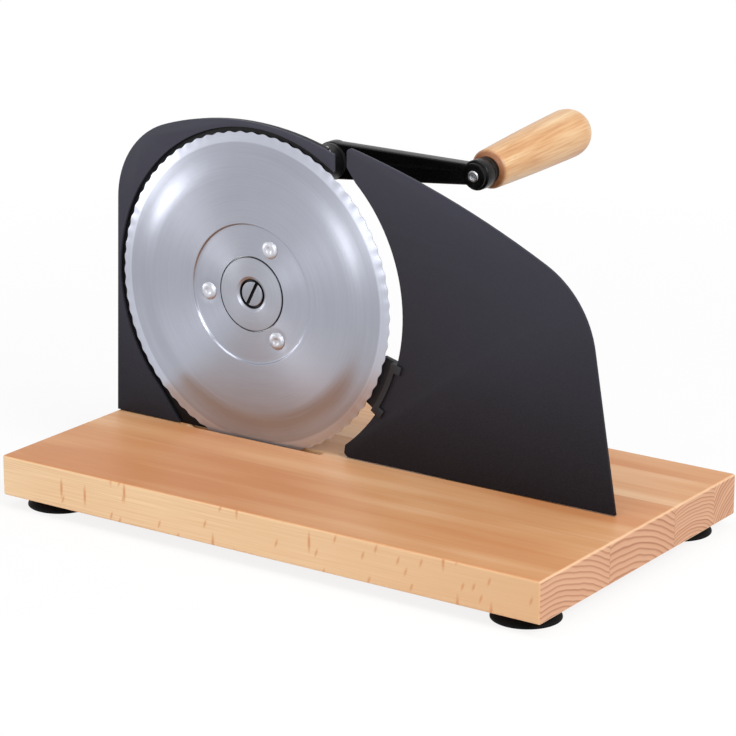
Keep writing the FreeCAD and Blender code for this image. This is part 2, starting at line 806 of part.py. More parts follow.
def make_hub_disc():
    # Clamping disc with a cup for the screw head, countersunk at its mouth
    front = seat_front - d.hub_disc_proud
    well = d.screw_head_radius + d.screw_head_gap
    seat = seat_back + d.hub_cup_depth - d.hub_cup_floor
    hole = d.screw_radius + d.seat_gap
    points = [
        (hole, seat),
        (well, seat),
        (well, front + 1),
        (well + d.screw_head_sink, front),
        (d.hub_disc_radius - 0.5, front),
        (d.hub_disc_radius, front + 0.5),
        (d.hub_disc_radius, seat_back),
        (d.hub_cup_radius, seat_back),
        (d.hub_cup_radius, seat_back + d.hub_cup_depth),
        (hole, seat_back + d.hub_cup_depth),
    ]
    at_plate(turned("hub_disc", points), blade_centre)
    top = seat - d.screw_head_height
    points = [
        (0, top),
        (d.screw_head_radius - 0.5, top),
        (d.screw_head_radius, top + 0.5),
        (d.screw_head_radius, seat),
        (d.screw_radius, seat),
        (d.screw_radius, seat + d.screw_length),
        (0, seat + d.screw_length),
    ]
    screw = turned("blade_screw", points)
    half = d.screw_slot_width / 2
    wide = d.screw_head_radius + 1
    slot = outline([(-wide, -half), (wide, -half), (wide, half), (-wide, half)])
    pocket(screw, "XZ_Plane", str(top), "Sizes.screw_slot_depth", [slot])
    turn = Rotation(Vector(0, 1, 0), -d.screw_slot_angle)
    at_plate(screw, blade_centre, 0, turn)


def make_blade_shaft():
    # Steel shaft behind the blade: pilot, shoulder, journal and clip groove
    front = seat_back + d.hub_cup_depth + d.seat_gap
    shaft = d.blade_shaft_radius
    end = shaft_boss_end + d.face_gap + d.clip_thickness + 2
    bore_end = seat_back + d.hub_cup_depth - d.hub_cup_floor + d.screw_length + 1
    groove = shaft_boss_end + d.face_gap
    thread = d.screw_radius + d.seat_gap
    points = [
        (thread, front),
        (d.hub_cup_radius, front),
        (d.hub_cup_radius, flange_back),
        (d.gear_hub_radius, flange_back),
        (d.gear_hub_radius, d.gear_start),
        (shaft, d.gear_start),
        (shaft, groove),
        (shaft - 1, groove),
        (shaft - 1, groove + d.clip_thickness),
        (shaft, groove + d.clip_thickness),
        (shaft, end - 1),
        (shaft - 1, end),
        (0, end),
        (0, bore_end),
        (thread, bore_end - 1),
    ]
    at_plate(turned("blade_shaft", points), blade_centre)
    inner = shaft - 1 + d.seat_gap
    outer = shaft + d.clip_width
    points = [(inner, groove), (outer, groove), (outer, groove + d.clip_thickness), (inner, groove + d.clip_thickness)]
    at_plate(turned("blade_shaft_clip", points), blade_centre)
    inner = shaft + d.running_gap
    outer = inner + d.blade_bush_wall
    points = [(inner, case_back), (outer, case_back), (outer, shaft_boss_end), (inner, shaft_boss_end)]
    at_plate(turned("blade_shaft_bush", points), blade_centre)


def involute_half_angle(teeth, radius):
    # Half the angle that a tooth fills at a radius, from the involute of the base circle
    pitch = d.gear_module * teeth / 2
    pressure = math.radians(d.pressure_angle)
    base = pitch * math.cos(pressure)
    here = math.acos(min(1, base / max(radius, base)))
    at_pitch = math.pi / (2 * teeth) - d.gear_backlash / (4 * pitch)
    widening = (math.tan(pressure) - pressure) - (math.tan(here) - here)
    return math.degrees(at_pitch + widening)


def gear_loop(teeth, tooth_angle):
    # Teeth with involute flanks, the first one centred on the given angle
    pitch = d.gear_module * teeth / 2
    root = pitch - d.gear_module * d.gear_dedendum
    tip = tip_radius(teeth)
    flank = [root, max(root + 0.1, pitch * math.cos(math.radians(d.pressure_angle))), pitch, tip]
    flank = sorted(set(flank))
    points = []
    for k in range(int(teeth)):
        middle = tooth_angle + k * 360 / teeth
        for radius in flank:
            points.append(polar(radius, middle - involute_half_angle(teeth, radius)))
        for radius in reversed(flank):
            points.append(polar(radius, middle + involute_half_angle(teeth, radius)))
    return outline(points)


def make_gears():
    gear = new_body("blade_gear")
    bore = circle(0, 0, d.blade_shaft_radius + d.seat_gap)
    width = "Sizes.gear_width"
    teeth = gear_loop(d.gear_teeth, d.crank_bearing_angle)
    pad(gear, "XZ_Plane", "Sizes.gear_start", width, [teeth, bore])
    rim = d.gear_module * (d.gear_teeth / 2 - d.gear_dedendum) - d.gear_rim
    web = [circle(0, 0, rim), circle(0, 0, d.gear_hub_radius)]
    pocket(gear, "XZ_Plane", "Sizes.gear_start + Sizes.gear_web", "Sizes.gear_width - Sizes.gear_web", web)
    window = circle(*polar((rim + d.gear_hub_radius) / 2, 0), d.gear_window_radius)
    hole = pocket(gear, "XZ_Plane", "Sizes.gear_start", "Sizes.gear_web", [window])
    ring_pattern(gear, hole, "Y_Axis", "Sizes.gear_window_count")
    at_plate(gear, blade_centre)
    pinion = new_body("crank_pinion")
    bore = circle(0, 0, d.crank_shaft_radius + d.seat_gap)
    first = d.crank_bearing_angle + 180 + 180 / d.pinion_teeth
    pad(pinion, "XZ_Plane", "Sizes.gear_start", width, [gear_loop(d.pinion_teeth, first), bore])
    at_plate(pinion, crank_centre)


# Crank

def make_crank_shaft():
    shaft = d.crank_shaft_radius
    stud = shaft - 1
    end = arm_end + d.crank_washer_thickness + d.crank_nut_height + 1.5
    points = [
        (0, floor_back - d.crank_spigot_length),
        (d.crank_spigot_radius, floor_back - d.crank_spigot_length),
        (d.crank_spigot_radius, floor_back + d.face_gap),
        (shaft, floor_back + d.face_gap),
        (shaft, arm_end),
        (stud, arm_end),
        (stud, end - 1),
        (stud - 1, end),
        (0, end),
    ]
    at_plate(turned("crank_shaft", points), crank_centre)
    inner = shaft + d.running_gap
    outer = inner + d.crank_bush_wall
    points = [(inner, case_back), (outer, case_back), (outer, crank_boss_end), (inner, crank_boss_end)]
    at_plate(turned("crank_shaft_bush", points), crank_centre)
    inner = shaft + d.seat_gap
    outer = crank_boss_radius
    front = crank_boss_end + d.face_gap
    points = [(inner, front), (outer, front), (outer, d.arm_start), (inner, d.arm_start)]
    at_plate(turned("crank_spacer", points), crank_centre)
    back = arm_end + d.crank_washer_thickness
    inner = stud + d.seat_gap
    outer = 1.3 * d.crank_nut_radius
    points = [(inner, arm_end), (outer, arm_end), (outer, back), (inner, back)]
    at_plate(turned("crank_washer", points), crank_centre)
    nut = hex_nut("crank_nut", d.crank_nut_radius, "Sizes.crank_nut_height", stud)
    round_edges(nut, "Chamfer", "0.6", lambda edge: is_hex_rim(edge, d.crank_nut_height))
    at_plate(nut, crank_centre, back)


def is_hex_rim(edge, y):
    straight = edge.Curve.TypeId == "Part::GeomLine"
    return straight and all(abs(vertex.Point.y - y) < 0.001 for vertex in edge.Vertexes)


def handle_turn():
    return Rotation(Vector(1, 0, 0), d.handle_lean)


def eye_centre():
    return polar(d.arm_length, d.arm_rest_angle, crank_centre)


def make_crank_arm():
    # A flat bar that tapers from the boss to the eye, drawn along +X and then turned to rest
    body = new_body("crank_arm")
    boss = d.arm_boss_radius
    root = d.arm_bar_root
    end = d.arm_bar_end
    eye = d.arm_eye_radius
    root_x = math.sqrt(boss ** 2 - root ** 2)
    end_x = d.arm_length - math.sqrt(eye ** 2 - end ** 2)
    loop = outline([
        (root_x, -root),
        (end_x, -end),
        via(d.arm_length + eye, 0),
        (end_x, end),
        (root_x, root),
        via(-boss, 0),
    ])
    pad(body, "XZ_Plane", "Sizes.arm_start", "Sizes.arm_thickness", [loop])
    round_edges(body, "Chamfer", "Sizes.arm_bevel", lambda edge: is_flat_rim(edge, d.arm_start, arm_end))
    shaft = circle(0, 0, d.crank_shaft_radius + d.seat_gap)
    pocket(body, "XZ_Plane", "Sizes.arm_start", "Sizes.arm_thickness", [shaft])
    # The eye leans with the handle, so it is a boss of its own with a leaning bore
    rest = Placement(Vector(), Rotation(Vector(0, 1, 0), -d.arm_rest_angle))
    pivot = Placement(Vector(d.arm_length, d.arm_start, 0), Rotation())
    lean = rest.inverse() * Placement(Vector(), handle_turn()) * rest
    along = Placement(Vector(), Rotation(Vector(1, 0, 0), -90))
    front = Placement(Vector(0, -d.eye_proud, 0), Rotation())
    feature = body.newObject("PartDesign::AdditiveCylinder", "EyeBoss")
    feature.setExpression("Radius", "Sizes.arm_eye_radius - Sizes.eye_step")
    feature.setExpression("Height", "Sizes.arm_thickness + Sizes.eye_proud + Sizes.eye_back")
    feature.Placement = pivot * lean * front * along
    doc.recompute()
    feature = body.newObject("PartDesign::SubtractiveCylinder", "EyeBore")
    feature.setExpression("Radius", "Sizes.spindle_radius + Sizes.seat_gap")
    feature.setExpression("Height", "2 * Sizes.arm_thickness + 2 * Sizes.eye_proud")
    far = Placement(Vector(0, -2 * d.eye_proud, 0), Rotation())
    feature.Placement = pivot * lean * far * along
    doc.recompute()
    at_plate(body, crank_centre, 0, rest.Rotation)


def is_flat_rim(edge, front, back):
    ys = [edge.BoundBox.YMin, edge.BoundBox.YMax]
    flat = abs(ys[0] - ys[1]) < 0.001
    return flat and min(abs(ys[0] - front), abs(ys[0] - back)) < 0.001


def at_handle(body, along):
    # A place on the handle's leaning axis, measured from the arm's front face
    x, z = eye_centre()
    turn = handle_turn()
    shift = turn.multVec(Vector(0, along, 0))
    return place(body, x + shift.x, d.plate_line + d.arm_start + shift.y, z + shift.z, turn)


def make_handle():
    collar_start = d.arm_thickness + d.eye_back
    grip_start = collar_start + d.collar_length + d.face_gap
    hole = d.spindle_radius + d.seat_gap
    radius = d.collar_radius
    points = [(hole, 0), (radius - 1, 0), (radius, 1), (radius, d.collar_length), (hole, d.collar_length)]
    at_handle(turned("handle_collar", points), collar_start)
    # Grip: a straight taper that ends in a dome, with a pocket for the end screw
    thin = d.grip_thin_radius
    thick = d.grip_thick_radius
    length = d.grip_length
    taper_end = length - d.grip_end_length
    bore = d.spindle_radius + d.running_gap
    mouth = d.grip_pocket_radius
    floor = length - d.grip_pocket_depth
    points = [
        (bore, 0),
        (thin - d.grip_chamfer, 0),
        (thin, d.grip_chamfer),
        via((thin + thick) / 2 + 0.3, taper_end * 0.5),
        (thick, taper_end),
        via(0.86 * thick, length - 0.36 * d.grip_end_length),
        (mouth + 1, length - 0.3),
        (mouth, length),
        (mouth, floor),
        (bore, floor),
    ]
    at_handle(turned("handle_grip", points), grip_start)
    # Spindle: riveted head in front of the eye, plain length through collar and grip
    head = d.spindle_head_radius
    front = -d.eye_proud
    stop = grip_start + floor + d.face_gap
    tap = d.cover_screw_radius + d.seat_gap
    points = dome(head, front, front - d.spindle_head_height) + [
        (d.spindle_radius, front),
        (d.spindle_radius, stop),
        (tap, stop),
        (tap, stop - d.handle_tap_depth),
        (0, stop - d.handle_tap_depth - d.tap_margin),
    ]
    at_handle(turned("handle_spindle", points), 0)
    head = d.handle_screw_head_radius
    tall = d.handle_screw_head_height
    radius = d.cover_screw_radius
    points = dome(head, 0.4 * tall, tall) + [
        (head, 0),
        (radius, 0),
        (radius, d.tap_margin - d.handle_tap_depth),
        (0, d.tap_margin - d.handle_tap_depth),
    ]
    at_handle(turned("handle_screw", points), stop)


# Slice guide

def guide_studs():
    return [(carriage_place + side, d.guide_stud_height) for side in (-d.guide_stud_side, d.guide_stud_side)]


def make_guide_plate():
    body = new_body("guide_plate")
    arc = d.blade_radius + d.guide_gap
    bottom = d.plate_lift
    fall = math.radians(d.guide_crown_fall)
    crown = d.guide_crown_radius
    top = crown_point(plate_right, d.plate_crown_radius)[1] + d.guide_top_rise
    right = d.board_length - d.guide_end_margin
    corner = (guide_left + d.guide_top_inset, top)
    centre = (corner[0] - crown * math.sin(fall), corner[1] - crown * math.cos(fall))
    foot = (right + bottom * math.tan(math.radians(d.guide_right_lean)), 0)
    on_arc, midway, on_edge = tangent_corner(
        centre, crown, foot, -d.guide_right_lean, d.guide_shoulder_radius, -1
    )
    half = (corner[0] + on_arc[0]) / 2
    crest = (half, centre[1] + math.sqrt(crown ** 2 - (half - centre[0]) ** 2))
    heel = polar(arc, d.guide_heel_bearing, blade_centre)
    toe_bearing = math.degrees(math.asin((d.guide_toe_height - d.blade_height) / arc))
    toe = polar(arc, toe_bearing, blade_centre)
    near = 0.3 * d.guide_corner_round
    loop = outline([
        corner,
        via(*crest),
        on_arc,
        via(*midway),
        on_edge,
        (right, bottom),
        (toe[0] + d.guide_corner_round, bottom),
        via(toe[0] + near, bottom + near),
        (toe[0] - near, bottom + d.guide_corner_round),
        toe,
        via(*polar(arc, (d.guide_heel_bearing + toe_bearing) / 2, blade_centre)),
        heel,
        (guide_left, heel[1] + d.guide_heel_rise),
        (guide_left, top - d.guide_corner_round),
        via(guide_left + near, top - near),
    ])
    pad(body, "XZ_Plane", "Sizes.guide_setback", "Sizes.sheet_thickness", [loop])
    studs = [circle(x, z, d.stud_radius) for x, z in guide_studs()]
    length = "Sizes.carriage_thickness + Sizes.nut_height + 1"
    pad(body, "XZ_Plane", "Sizes.guide_setback + Sizes.sheet_thickness", length, studs)
    place(body, 0, d.plate_line, 0)
    for number, (x, z) in enumerate(guide_studs(), start=1):
        nut = hex_nut("guide_nut_%d" % number, d.nut_radius, "Sizes.nut_height", d.stud_radius)
        at_plate(nut, (x, z), carriage_back)


def sector(inner, outer, first, last):
    middle = (first + last) / 2
    return outline([
        polar(inner, first, blade_centre),
        via(*polar(inner, middle, blade_centre)),
        polar(inner, last, blade_centre),
        polar(outer, last, blade_centre),
        via(*polar(outer, middle, blade_centre)),
        polar(outer, first, blade_centre),
    ])


def make_edge_guard():
    # Black clip on the guide plate's round edge, low at the blade: a web in the gap, a ledge
    # that reaches in behind the blade's edge, a lip behind the plate and a small hook over
    # its face at each end. The ledge stays behind the blade when the guide is right forward
    body = new_body("edge_guard")
    first = d.guard_first_angle
    last = d.guard_last_angle
    inner = d.blade_radius + d.guard_clearance
    edge = d.blade_radius + d.guide_gap - d.seat_gap
    front = "Sizes.guide_setback - Sizes.guard_proud"
    deep = "Sizes.guard_proud + Sizes.sheet_thickness + Sizes.guard_lip_thickness"
    pad(body, "XZ_Plane", front, deep, [sector(inner, edge, first, last)])
    ledge = sector(d.blade_radius - d.guard_cover, inner + d.guard_proud, first, last)
    ledge_start = "Sizes.blade_thickness + Sizes.guide_setback + 2 * Sizes.face_gap"
    guard_end = "Sizes.guide_setback + Sizes.sheet_thickness + Sizes.guard_lip_thickness"
    pad(body, "XZ_Plane", ledge_start, "%s - (%s)" % (guard_end, ledge_start), [ledge])
    lip = sector(edge, edge + d.guard_lip, first, last)
    behind = "Sizes.guide_setback + Sizes.sheet_thickness + Sizes.seat_gap"
    pad(body, "XZ_Plane", behind, "Sizes.guard_lip_thickness - Sizes.seat_gap", [lip])
    for start in (first, last - d.guard_hook_angle):
        hook = sector(edge, edge + 0.7 * d.guard_lip, start, start + d.guard_hook_angle)
        pad(body, "XZ_Plane", front, "Sizes.guard_proud - Sizes.seat_gap", [hook])
    place(body, 0, d.plate_line, 0)


def rod_places():
    return {
        "left": (carriage_place - d.rod_side, d.rod_height),
        "right": (carriage_place + d.rod_side, d.rod_height),
    }


def make_carriage():
    body = new_body("guide_carriage")
    left = carriage_place - d.carriage_half_width
    right = carriage_place + d.carriage_half_width
    wall = rectangle(left, right, d.carriage_bottom, d.carriage_top)
    start = "Sizes.guide_setback + Sizes.sheet_thickness"
    pad(body, "XZ_Plane", start, "Sizes.carriage_thickness", [wall])
    round_edges(body, "Fillet", "Sizes.carriage_corner", is_upright_to_face)
    spindle = (carriage_place, d.spindle_height)
    back = start + " + Sizes.carriage_thickness"
    pad(body, "XZ_Plane", back, "Sizes.nut_tube_length", [circle(*spindle, d.nut_tube_radius)])
    bore = circle(*spindle, d.adjuster_radius + 2 * d.running_gap)
    through = "Sizes.carriage_thickness + Sizes.nut_tube_length"
    pocket(body, "XZ_Plane", start, through, [bore])
    holes = [circle(x, z, d.stud_radius + 2 * d.running_gap) for x, z in guide_studs()]
    holes += [circle(*centre, d.rod_radius + d.seat_gap) for centre in rod_places().values()]
    pocket(body, "XZ_Plane", start, "Sizes.carriage_thickness", holes)
    place(body, 0, d.plate_line, 0)


def is_upright_to_face(edge):
    box = edge.BoundBox
    return box.YMax - box.YMin > 1 and box.XMax - box.XMin < 0.01 and box.ZMax - box.ZMin < 0.01


def make_rods():
    for side, centre in rod_places().items():
        radius = d.rod_radius
        end = guide_back + d.rod_length
        start = guide_back + d.seat_gap
        points = [(0, start), (radius, start), (radius, end - 1), (radius - 1, end), (0, end)]
        at_plate(turned("guide_rod_" + side, points), centre)
        inner = radius + d.running_gap
        outer = inner + d.rod_bush_wall
        points = [(inner, d.block_start), (outer, d.block_start), (outer, block_end), (inner, block_end)]
        at_plate(turned("rod_bush_" + side, points), centre)


def make_block():
    # Bearing block on the board for the two rods and the adjusting spindle
    body = new_body("guide_block")
    left = carriage_place - d.block_half_width
    right = carriage_place + d.block_half_width
    pad(body, "XZ_Plane", "Sizes.block_start", "Sizes.block_length", [rectangle(left, right, 0, d.block_height)])
    round_edges(body, "Fillet", "Sizes.block_round", lambda edge: is_top_edge(edge, d.block_height))
    ears = rectangle(left - d.block_ear, right + d.block_ear, 0, d.block_ear_thickness)
    pad(body, "XZ_Plane", "Sizes.block_start", "Sizes.block_length", [ears])
    bush = d.rod_radius + d.running_gap + d.rod_bush_wall + d.seat_gap
    holes = [circle(*centre, bush) for centre in rod_places().values()]
    spindle = (carriage_place, d.spindle_height)
    holes.append(circle(*spindle, d.adjuster_radius + d.running_gap))
    pocket(body, "XZ_Plane", "Sizes.block_start", "Sizes.block_length", holes)
    room = [circle(*spindle, d.nut_tube_radius + d.nut_tube_room)]
    pocket(body, "XZ_Plane", "Sizes.block_start", "Sizes.block_length - Sizes.block_wall", room)
    clear = d.wood_screw_radius + 2 * d.running_gap
    drilled = [circle(x, y - d.plate_line, clear) for x, y in block_screw_places()]
    pocket(body, "XY_Plane", "0", "Sizes.block_ear_thickness", drilled)
    place(body, 0, d.plate_line, 0)
    for number, (x, y) in enumerate(block_screw_places(), start=1):
        screw = wood_screw("block_screw_%d" % number, d.wood_screw_bite + d.block_ear_thickness)
        place(screw, x, y, d.block_ear_thickness)


def is_top_edge(edge, height):
    box = edge.BoundBox
    return box.ZMin > height - 0.001 and box.YMax - box.YMin > 1


def make_adjuster():
    centre = (carriage_place, d.spindle_height)
    radius = d.adjuster_radius
    collar = d.adjuster_collar_radius
    collar_end = block_end - d.block_wall - d.face_gap
    collar_start = collar_end - d.adjuster_collar_length
    knob_start = block_end + 2 * d.face_gap
    knob_seat = knob_start + d.knob_length - d.knob_pocket_depth
    tap = d.cover_screw_radius + d.seat_gap
    points = [
        (0, d.adjuster_front),
        (radius - 1, d.adjuster_front),
        (radius, d.adjuster_front + 1),
        (radius, collar_start),
        (collar, collar_start),
        (collar, collar_end),
        (radius, collar_end),
        (radius, knob_seat),
        (tap, knob_seat),
        (tap, knob_seat - d.knob_screw_reach - d.tap_margin),
        (0, knob_seat - d.knob_screw_reach - 2 * d.tap_margin),
    ]
    at_plate(turned("adjuster_spindle", points), centre)
    make_knob(centre, knob_start, knob_seat)
    head = d.knob_pocket_radius - 1
    points = dome(head, 0.4 * d.handle_screw_head_height, d.handle_screw_head_height) + [
        (head, 0),
        (d.cover_screw_radius, 0),
        (d.cover_screw_radius, -d.knob_screw_reach),
        (0, -d.knob_screw_reach),
    ]
    at_plate(turned("knob_screw", points), centre, knob_seat)


def make_knob(centre, knob_start, knob_seat):
    # Skirt with a reading edge, then a fluted barrel with a rounded end
    radius = d.knob_radius
    barrel = radius - 2
    end = d.knob_length
    bore = d.adjuster_radius + d.seat_gap
    seat = end - d.knob_pocket_depth
    points = [
        (bore, 0),
        (radius, 0),
        (radius, d.knob_skirt),
        (barrel, d.knob_skirt + 1.5),
        (barrel, end - 2),
        via(barrel - 0.6, end - 0.6),
        (barrel - 2, end),
        (d.knob_pocket_radius, end),
        (d.knob_pocket_radius, seat),
        (bore, seat),
    ]
    body = turned("adjuster_knob", points)
    flute = circle(*polar(barrel + 0.55 * d.knob_flute_radius, 90), d.knob_flute_radius)
    cut = pocket(body, "XZ_Plane", "Sizes.knob_skirt + 1.5", "Sizes.knob_length", [flute])
    ring_pattern(body, cut, "Y_Axis", "Sizes.knob_flute_count")
    at_plate(body, centre, knob_start)


# Building, checking and writing

def check_sound():
    for item in doc.Objects:
        assert not {"Invalid", "Error"} & set(item.State), item.Name + ": " + str(item.State)
    for body in sub_parts:
        assert not body.Shape.isNull() and body.Shape.isValid(), body.Label + " has no valid shape"
        assert len(body.Shape.Solids) == 1, body.Label + " is not one solid"


def move_to_origin():
    # The origin is the middle of the whole part's footprint, on the ground
    box = FreeCAD.BoundBox()
    for body in sub_parts:
        box.add(body.Shape.optimalBoundingBox(False, False))
    ground = -d.board_thickness - d.foot_height
    shift = Vector(-(box.XMin + box.XMax) / 2, -(box.YMin + box.YMax) / 2, -ground)
    for body in sub_parts:
        where = body.Placement
        body.Placement = Placement(where.Base + shift, where.Rotation)
    doc.recompute()
    return shift


make_board()
for corner, (x, y) in foot_places().items():
    make_foot(corner, x, y)
make_blade_plate()
make_housing()
make_cover()
make_blade()
make_rivets()
make_drive_flange()
make_hub_disc()
make_blade_shaft()
make_gears()
make_crank_shaft()
make_crank_arm()
make_handle()
make_guide_plate()
make_edge_guard()
make_carriage()
make_rods()
make_block()
make_adjuster()
doc.recompute()
check_sound()
shift = move_to_origin()
check_sound()

os.makedirs("parts", exist_ok=True)
for body in sub_parts:
    body.Shape.exportStep("parts/%s.step" % body.Label)
print("sub-parts", len(sub_parts), "shift", [round(v, 4) for v in shift])
print("blade axis", [round(v, 4) for v in (blade_centre[0] + shift.x, d.plate_line + shift.y, blade_centre[1] + shift.z)])
print("crank axis", [round(v, 4) for v in (crank_centre[0] + shift.x, d.plate_line + shift.y, crank_centre[1] + shift.z)])
eye = eye_centre()
print("eye", [round(v, 4) for v in (eye[0] + shift.x, d.plate_line + d.arm_start + shift.y, eye[1] + shift.z)])
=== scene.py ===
import json
import math

import bmesh
import bpy
import numpy as np
from mathutils import Matrix, Vector


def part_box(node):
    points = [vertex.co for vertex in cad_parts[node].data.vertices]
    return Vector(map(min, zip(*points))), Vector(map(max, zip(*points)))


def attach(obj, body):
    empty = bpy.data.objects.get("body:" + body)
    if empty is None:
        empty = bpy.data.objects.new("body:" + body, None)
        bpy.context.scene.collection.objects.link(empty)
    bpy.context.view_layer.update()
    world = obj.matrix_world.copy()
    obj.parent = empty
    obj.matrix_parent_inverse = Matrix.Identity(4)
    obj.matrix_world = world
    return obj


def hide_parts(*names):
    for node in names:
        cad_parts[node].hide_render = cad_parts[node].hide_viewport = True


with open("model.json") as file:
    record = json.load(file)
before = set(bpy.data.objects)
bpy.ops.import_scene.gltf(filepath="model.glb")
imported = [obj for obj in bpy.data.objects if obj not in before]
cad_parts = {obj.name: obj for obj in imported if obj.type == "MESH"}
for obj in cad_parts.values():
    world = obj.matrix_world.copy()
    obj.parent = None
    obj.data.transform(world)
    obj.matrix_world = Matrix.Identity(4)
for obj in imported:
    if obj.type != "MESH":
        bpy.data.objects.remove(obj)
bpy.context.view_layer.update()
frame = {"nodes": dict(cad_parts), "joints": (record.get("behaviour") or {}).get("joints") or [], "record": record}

scene = bpy.context.scene
joints = {joint["name"]: joint for joint in frame["joints"]}
nodes = frame["nodes"]
mm = 0.001
slotOf = {part["node"]: part["material_slot"] for part in frame["record"]["subparts"]}
print("frame loaded:", len(nodes), "nodes")


# View

view = {
    "place": (0.94770, -1.41154, 0.59106),  # where the photograph was taken from, in metres
    "turn": 34.409,                         # degrees to the left of straight ahead
    "dip": 16.703,                          # degrees below level
    "roll": 0.142,
    "lens": 152.516,
}
camera = bpy.data.objects.new("camera", bpy.data.cameras.new("camera"))
scene.collection.objects.link(camera)
camera.data.sensor_width = 36
camera.data.lens = view["lens"]
camera.matrix_world = (
    Matrix.Translation(view["place"])
    @ Matrix.Rotation(math.radians(view["turn"]), 4, "Z")
    @ Matrix.Rotation(math.radians(90 - view["dip"]), 4, "X")
    @ Matrix.Rotation(math.radians(view["roll"]), 4, "Z")
)
scene.camera = camera
scene.view_settings.view_transform = "Standard"


# Material helpers

def tone(red, green, blue):
    # An 0 to 255 screen colour as the linear colour a shader wants
    part = np.array([red, green, blue]) / 255
    return tuple(np.where(part < 0.04045, part / 12.92, ((part + 0.055) / 1.055) ** 2.4)) + (1.0,)


class Finish:
    # A material whose nodes are added one by one; sockets given to a node are linked, values are set
    def __init__(self, name):
        self.material = bpy.data.materials.new(name)
        self.material.use_nodes = True
        self.tree = self.material.node_tree
        self.shader = self.tree.nodes["Principled BSDF"]
        self.at = self.add("TexCoord").outputs

    def add(self, kind, inputs=None, **settings):
        node = self.tree.nodes.new("ShaderNode" + kind)
        for key, value in settings.items():
            setattr(node, key, value)
        for key, value in (inputs or {}).items():
            self.feed(node.inputs[key], value)
        return node

    def feed(self, socket, value):
        if isinstance(value, bpy.types.NodeSocket):
            self.tree.links.new(value, socket)
        else:
            socket.default_value = value

    def set(self, **sockets):
        for key, value in sockets.items():
            self.feed(self.shader.inputs[key.replace("_", " ")], value)
        return self.material

    def math(self, operation, first, second=0.0, third=0.0):
        node = self.add("Math", {0: first, 1: second, 2: third}, operation=operation)
        return node.outputs[0]

    def vector(self, operation, first, second=(0, 0, 0)):
        node = self.add("VectorMath", {0: first, 1: second}, operation=operation)
        return node.outputs["Value" if operation in ("LENGTH", "DISTANCE") else "Vector"]

    def combine(self, x=0.0, y=0.0, z=0.0):
        return self.add("CombineXYZ", {"X": x, "Y": y, "Z": z}).outputs[0]

    def split(self, vector):
        return self.add("SeparateXYZ", {0: vector}).outputs

    def noise(self, vector, scale, detail=2.0, rough=0.5):
        inputs = {"Vector": vector, "Scale": scale, "Detail": detail, "Roughness": rough}
        return self.add("TexNoise", inputs).outputs["Fac"]

    def ramp(self, factor, *stops):
        node = self.add("ValToRGB", {0: factor})
        elements = node.color_ramp.elements
        while len(elements) < len(stops):
            elements.new(0.5)
        for element, (position, colour) in zip(elements, stops):
            element.position = position
            element.color = colour if isinstance(colour, tuple) else (colour, colour, colour, 1.0)
        return node.outputs["Color"]

    def mix(self, factor, first, second, blend="MIX"):
        node = self.add("Mix", data_type="RGBA", blend_type=blend)
        self.feed(node.inputs["Factor"], factor)
        self.feed(node.inputs[6], first)
        self.feed(node.inputs[7], second)
        return node.outputs[2]

    def span(self, value, low, high, outLow=0.0, outHigh=1.0):
        inputs = {0: value, 1: low, 2: high, 3: outLow, 4: outHigh}
        return self.add("MapRange", inputs).outputs[0]

    def bump(self, height, distance, strength=1.0):
        inputs = {"Height": height, "Distance": distance, "Strength": strength}
        return self.add("Bump", inputs).outputs["Normal"]


def coated(name, colour, roughness, grain, depth, spread=0.06, metallic=0.0, lift=0.15, gloss=0.5):
    # An even finish with a fine grain: its noise moves the colour, the gloss and the surface
    finish = Finish(name)
    fine = finish.noise(finish.at["Object"], grain, 3.0, 0.6)
    broad = finish.noise(finish.at["Object"], grain * 0.02, 2.0)
    light = tuple(min(1.0, part * (1 + lift)) for part in colour[:3]) + (1.0,)
    dark = tuple(part * (1 - lift) for part in colour[:3]) + (1.0,)
    blend = finish.math("MULTIPLY_ADD", fine, 0.5, finish.math("MULTIPLY", broad, 0.5))
    return finish.set(
        Base_Color=finish.mix(finish.span(blend, 0.35, 0.65), dark, light),
        Metallic=metallic,
        Roughness=finish.span(fine, 0.3, 0.7, roughness - spread, roughness + spread),
        Specular_IOR_Level=gloss,
        Normal=finish.bump(fine, depth),
    )


# From low to high is painted shade turning into painted light over the plates; speck is the coat's own mottle
sheetCoatAndPaintedShade = {
    "low": (0.0045, 0.0034, 0.0050, 1),
    "high": (0.050, 0.050, 0.069, 1),
    "speck": (0.08, 0.08, 0.09, 1),
    "from": 0.02, "to": 0.24,                  # heights in metres between which low turns into high
    "tilt": -0.16,                             # height counts for less towards the right
    "wander": 0.03,
}


def sheetBlack():
    # Powder coat with painted light and shade: its colour is made a little greyer towards the top and
    # the left and darker at the low right, after the photograph, where the light falls off that way
    finish = Finish("satin_black_powder_coat")
    fine = finish.noise(finish.at["Object"], 1500, 3.0, 0.6)
    broad = finish.noise(finish.at["Object"], 9.0, 2.0)
    x, _, z = finish.split(finish.at["Object"])
    height = finish.math("MULTIPLY_ADD", x, sheetCoatAndPaintedShade["tilt"], z)
    height = finish.math("MULTIPLY_ADD", broad, sheetCoatAndPaintedShade["wander"], height)
    # Painted light and shade: the coat's colour goes from low to high towards the top left
    rise = finish.span(height, sheetCoatAndPaintedShade["from"], sheetCoatAndPaintedShade["to"])
    colour = finish.mix(rise, sheetCoatAndPaintedShade["low"], sheetCoatAndPaintedShade["high"])
    colour = finish.mix(finish.span(fine, 0.3, 0.7, 0.0, 0.12), colour, sheetCoatAndPaintedShade["speck"])
    return finish.set(
        Base_Color=colour,
        Roughness=finish.span(fine, 0.3, 0.7, 0.44, 0.54),
        Specular_IOR_Level=0.09,
        Normal=finish.bump(fine, 0.00004),
    )


# Wood

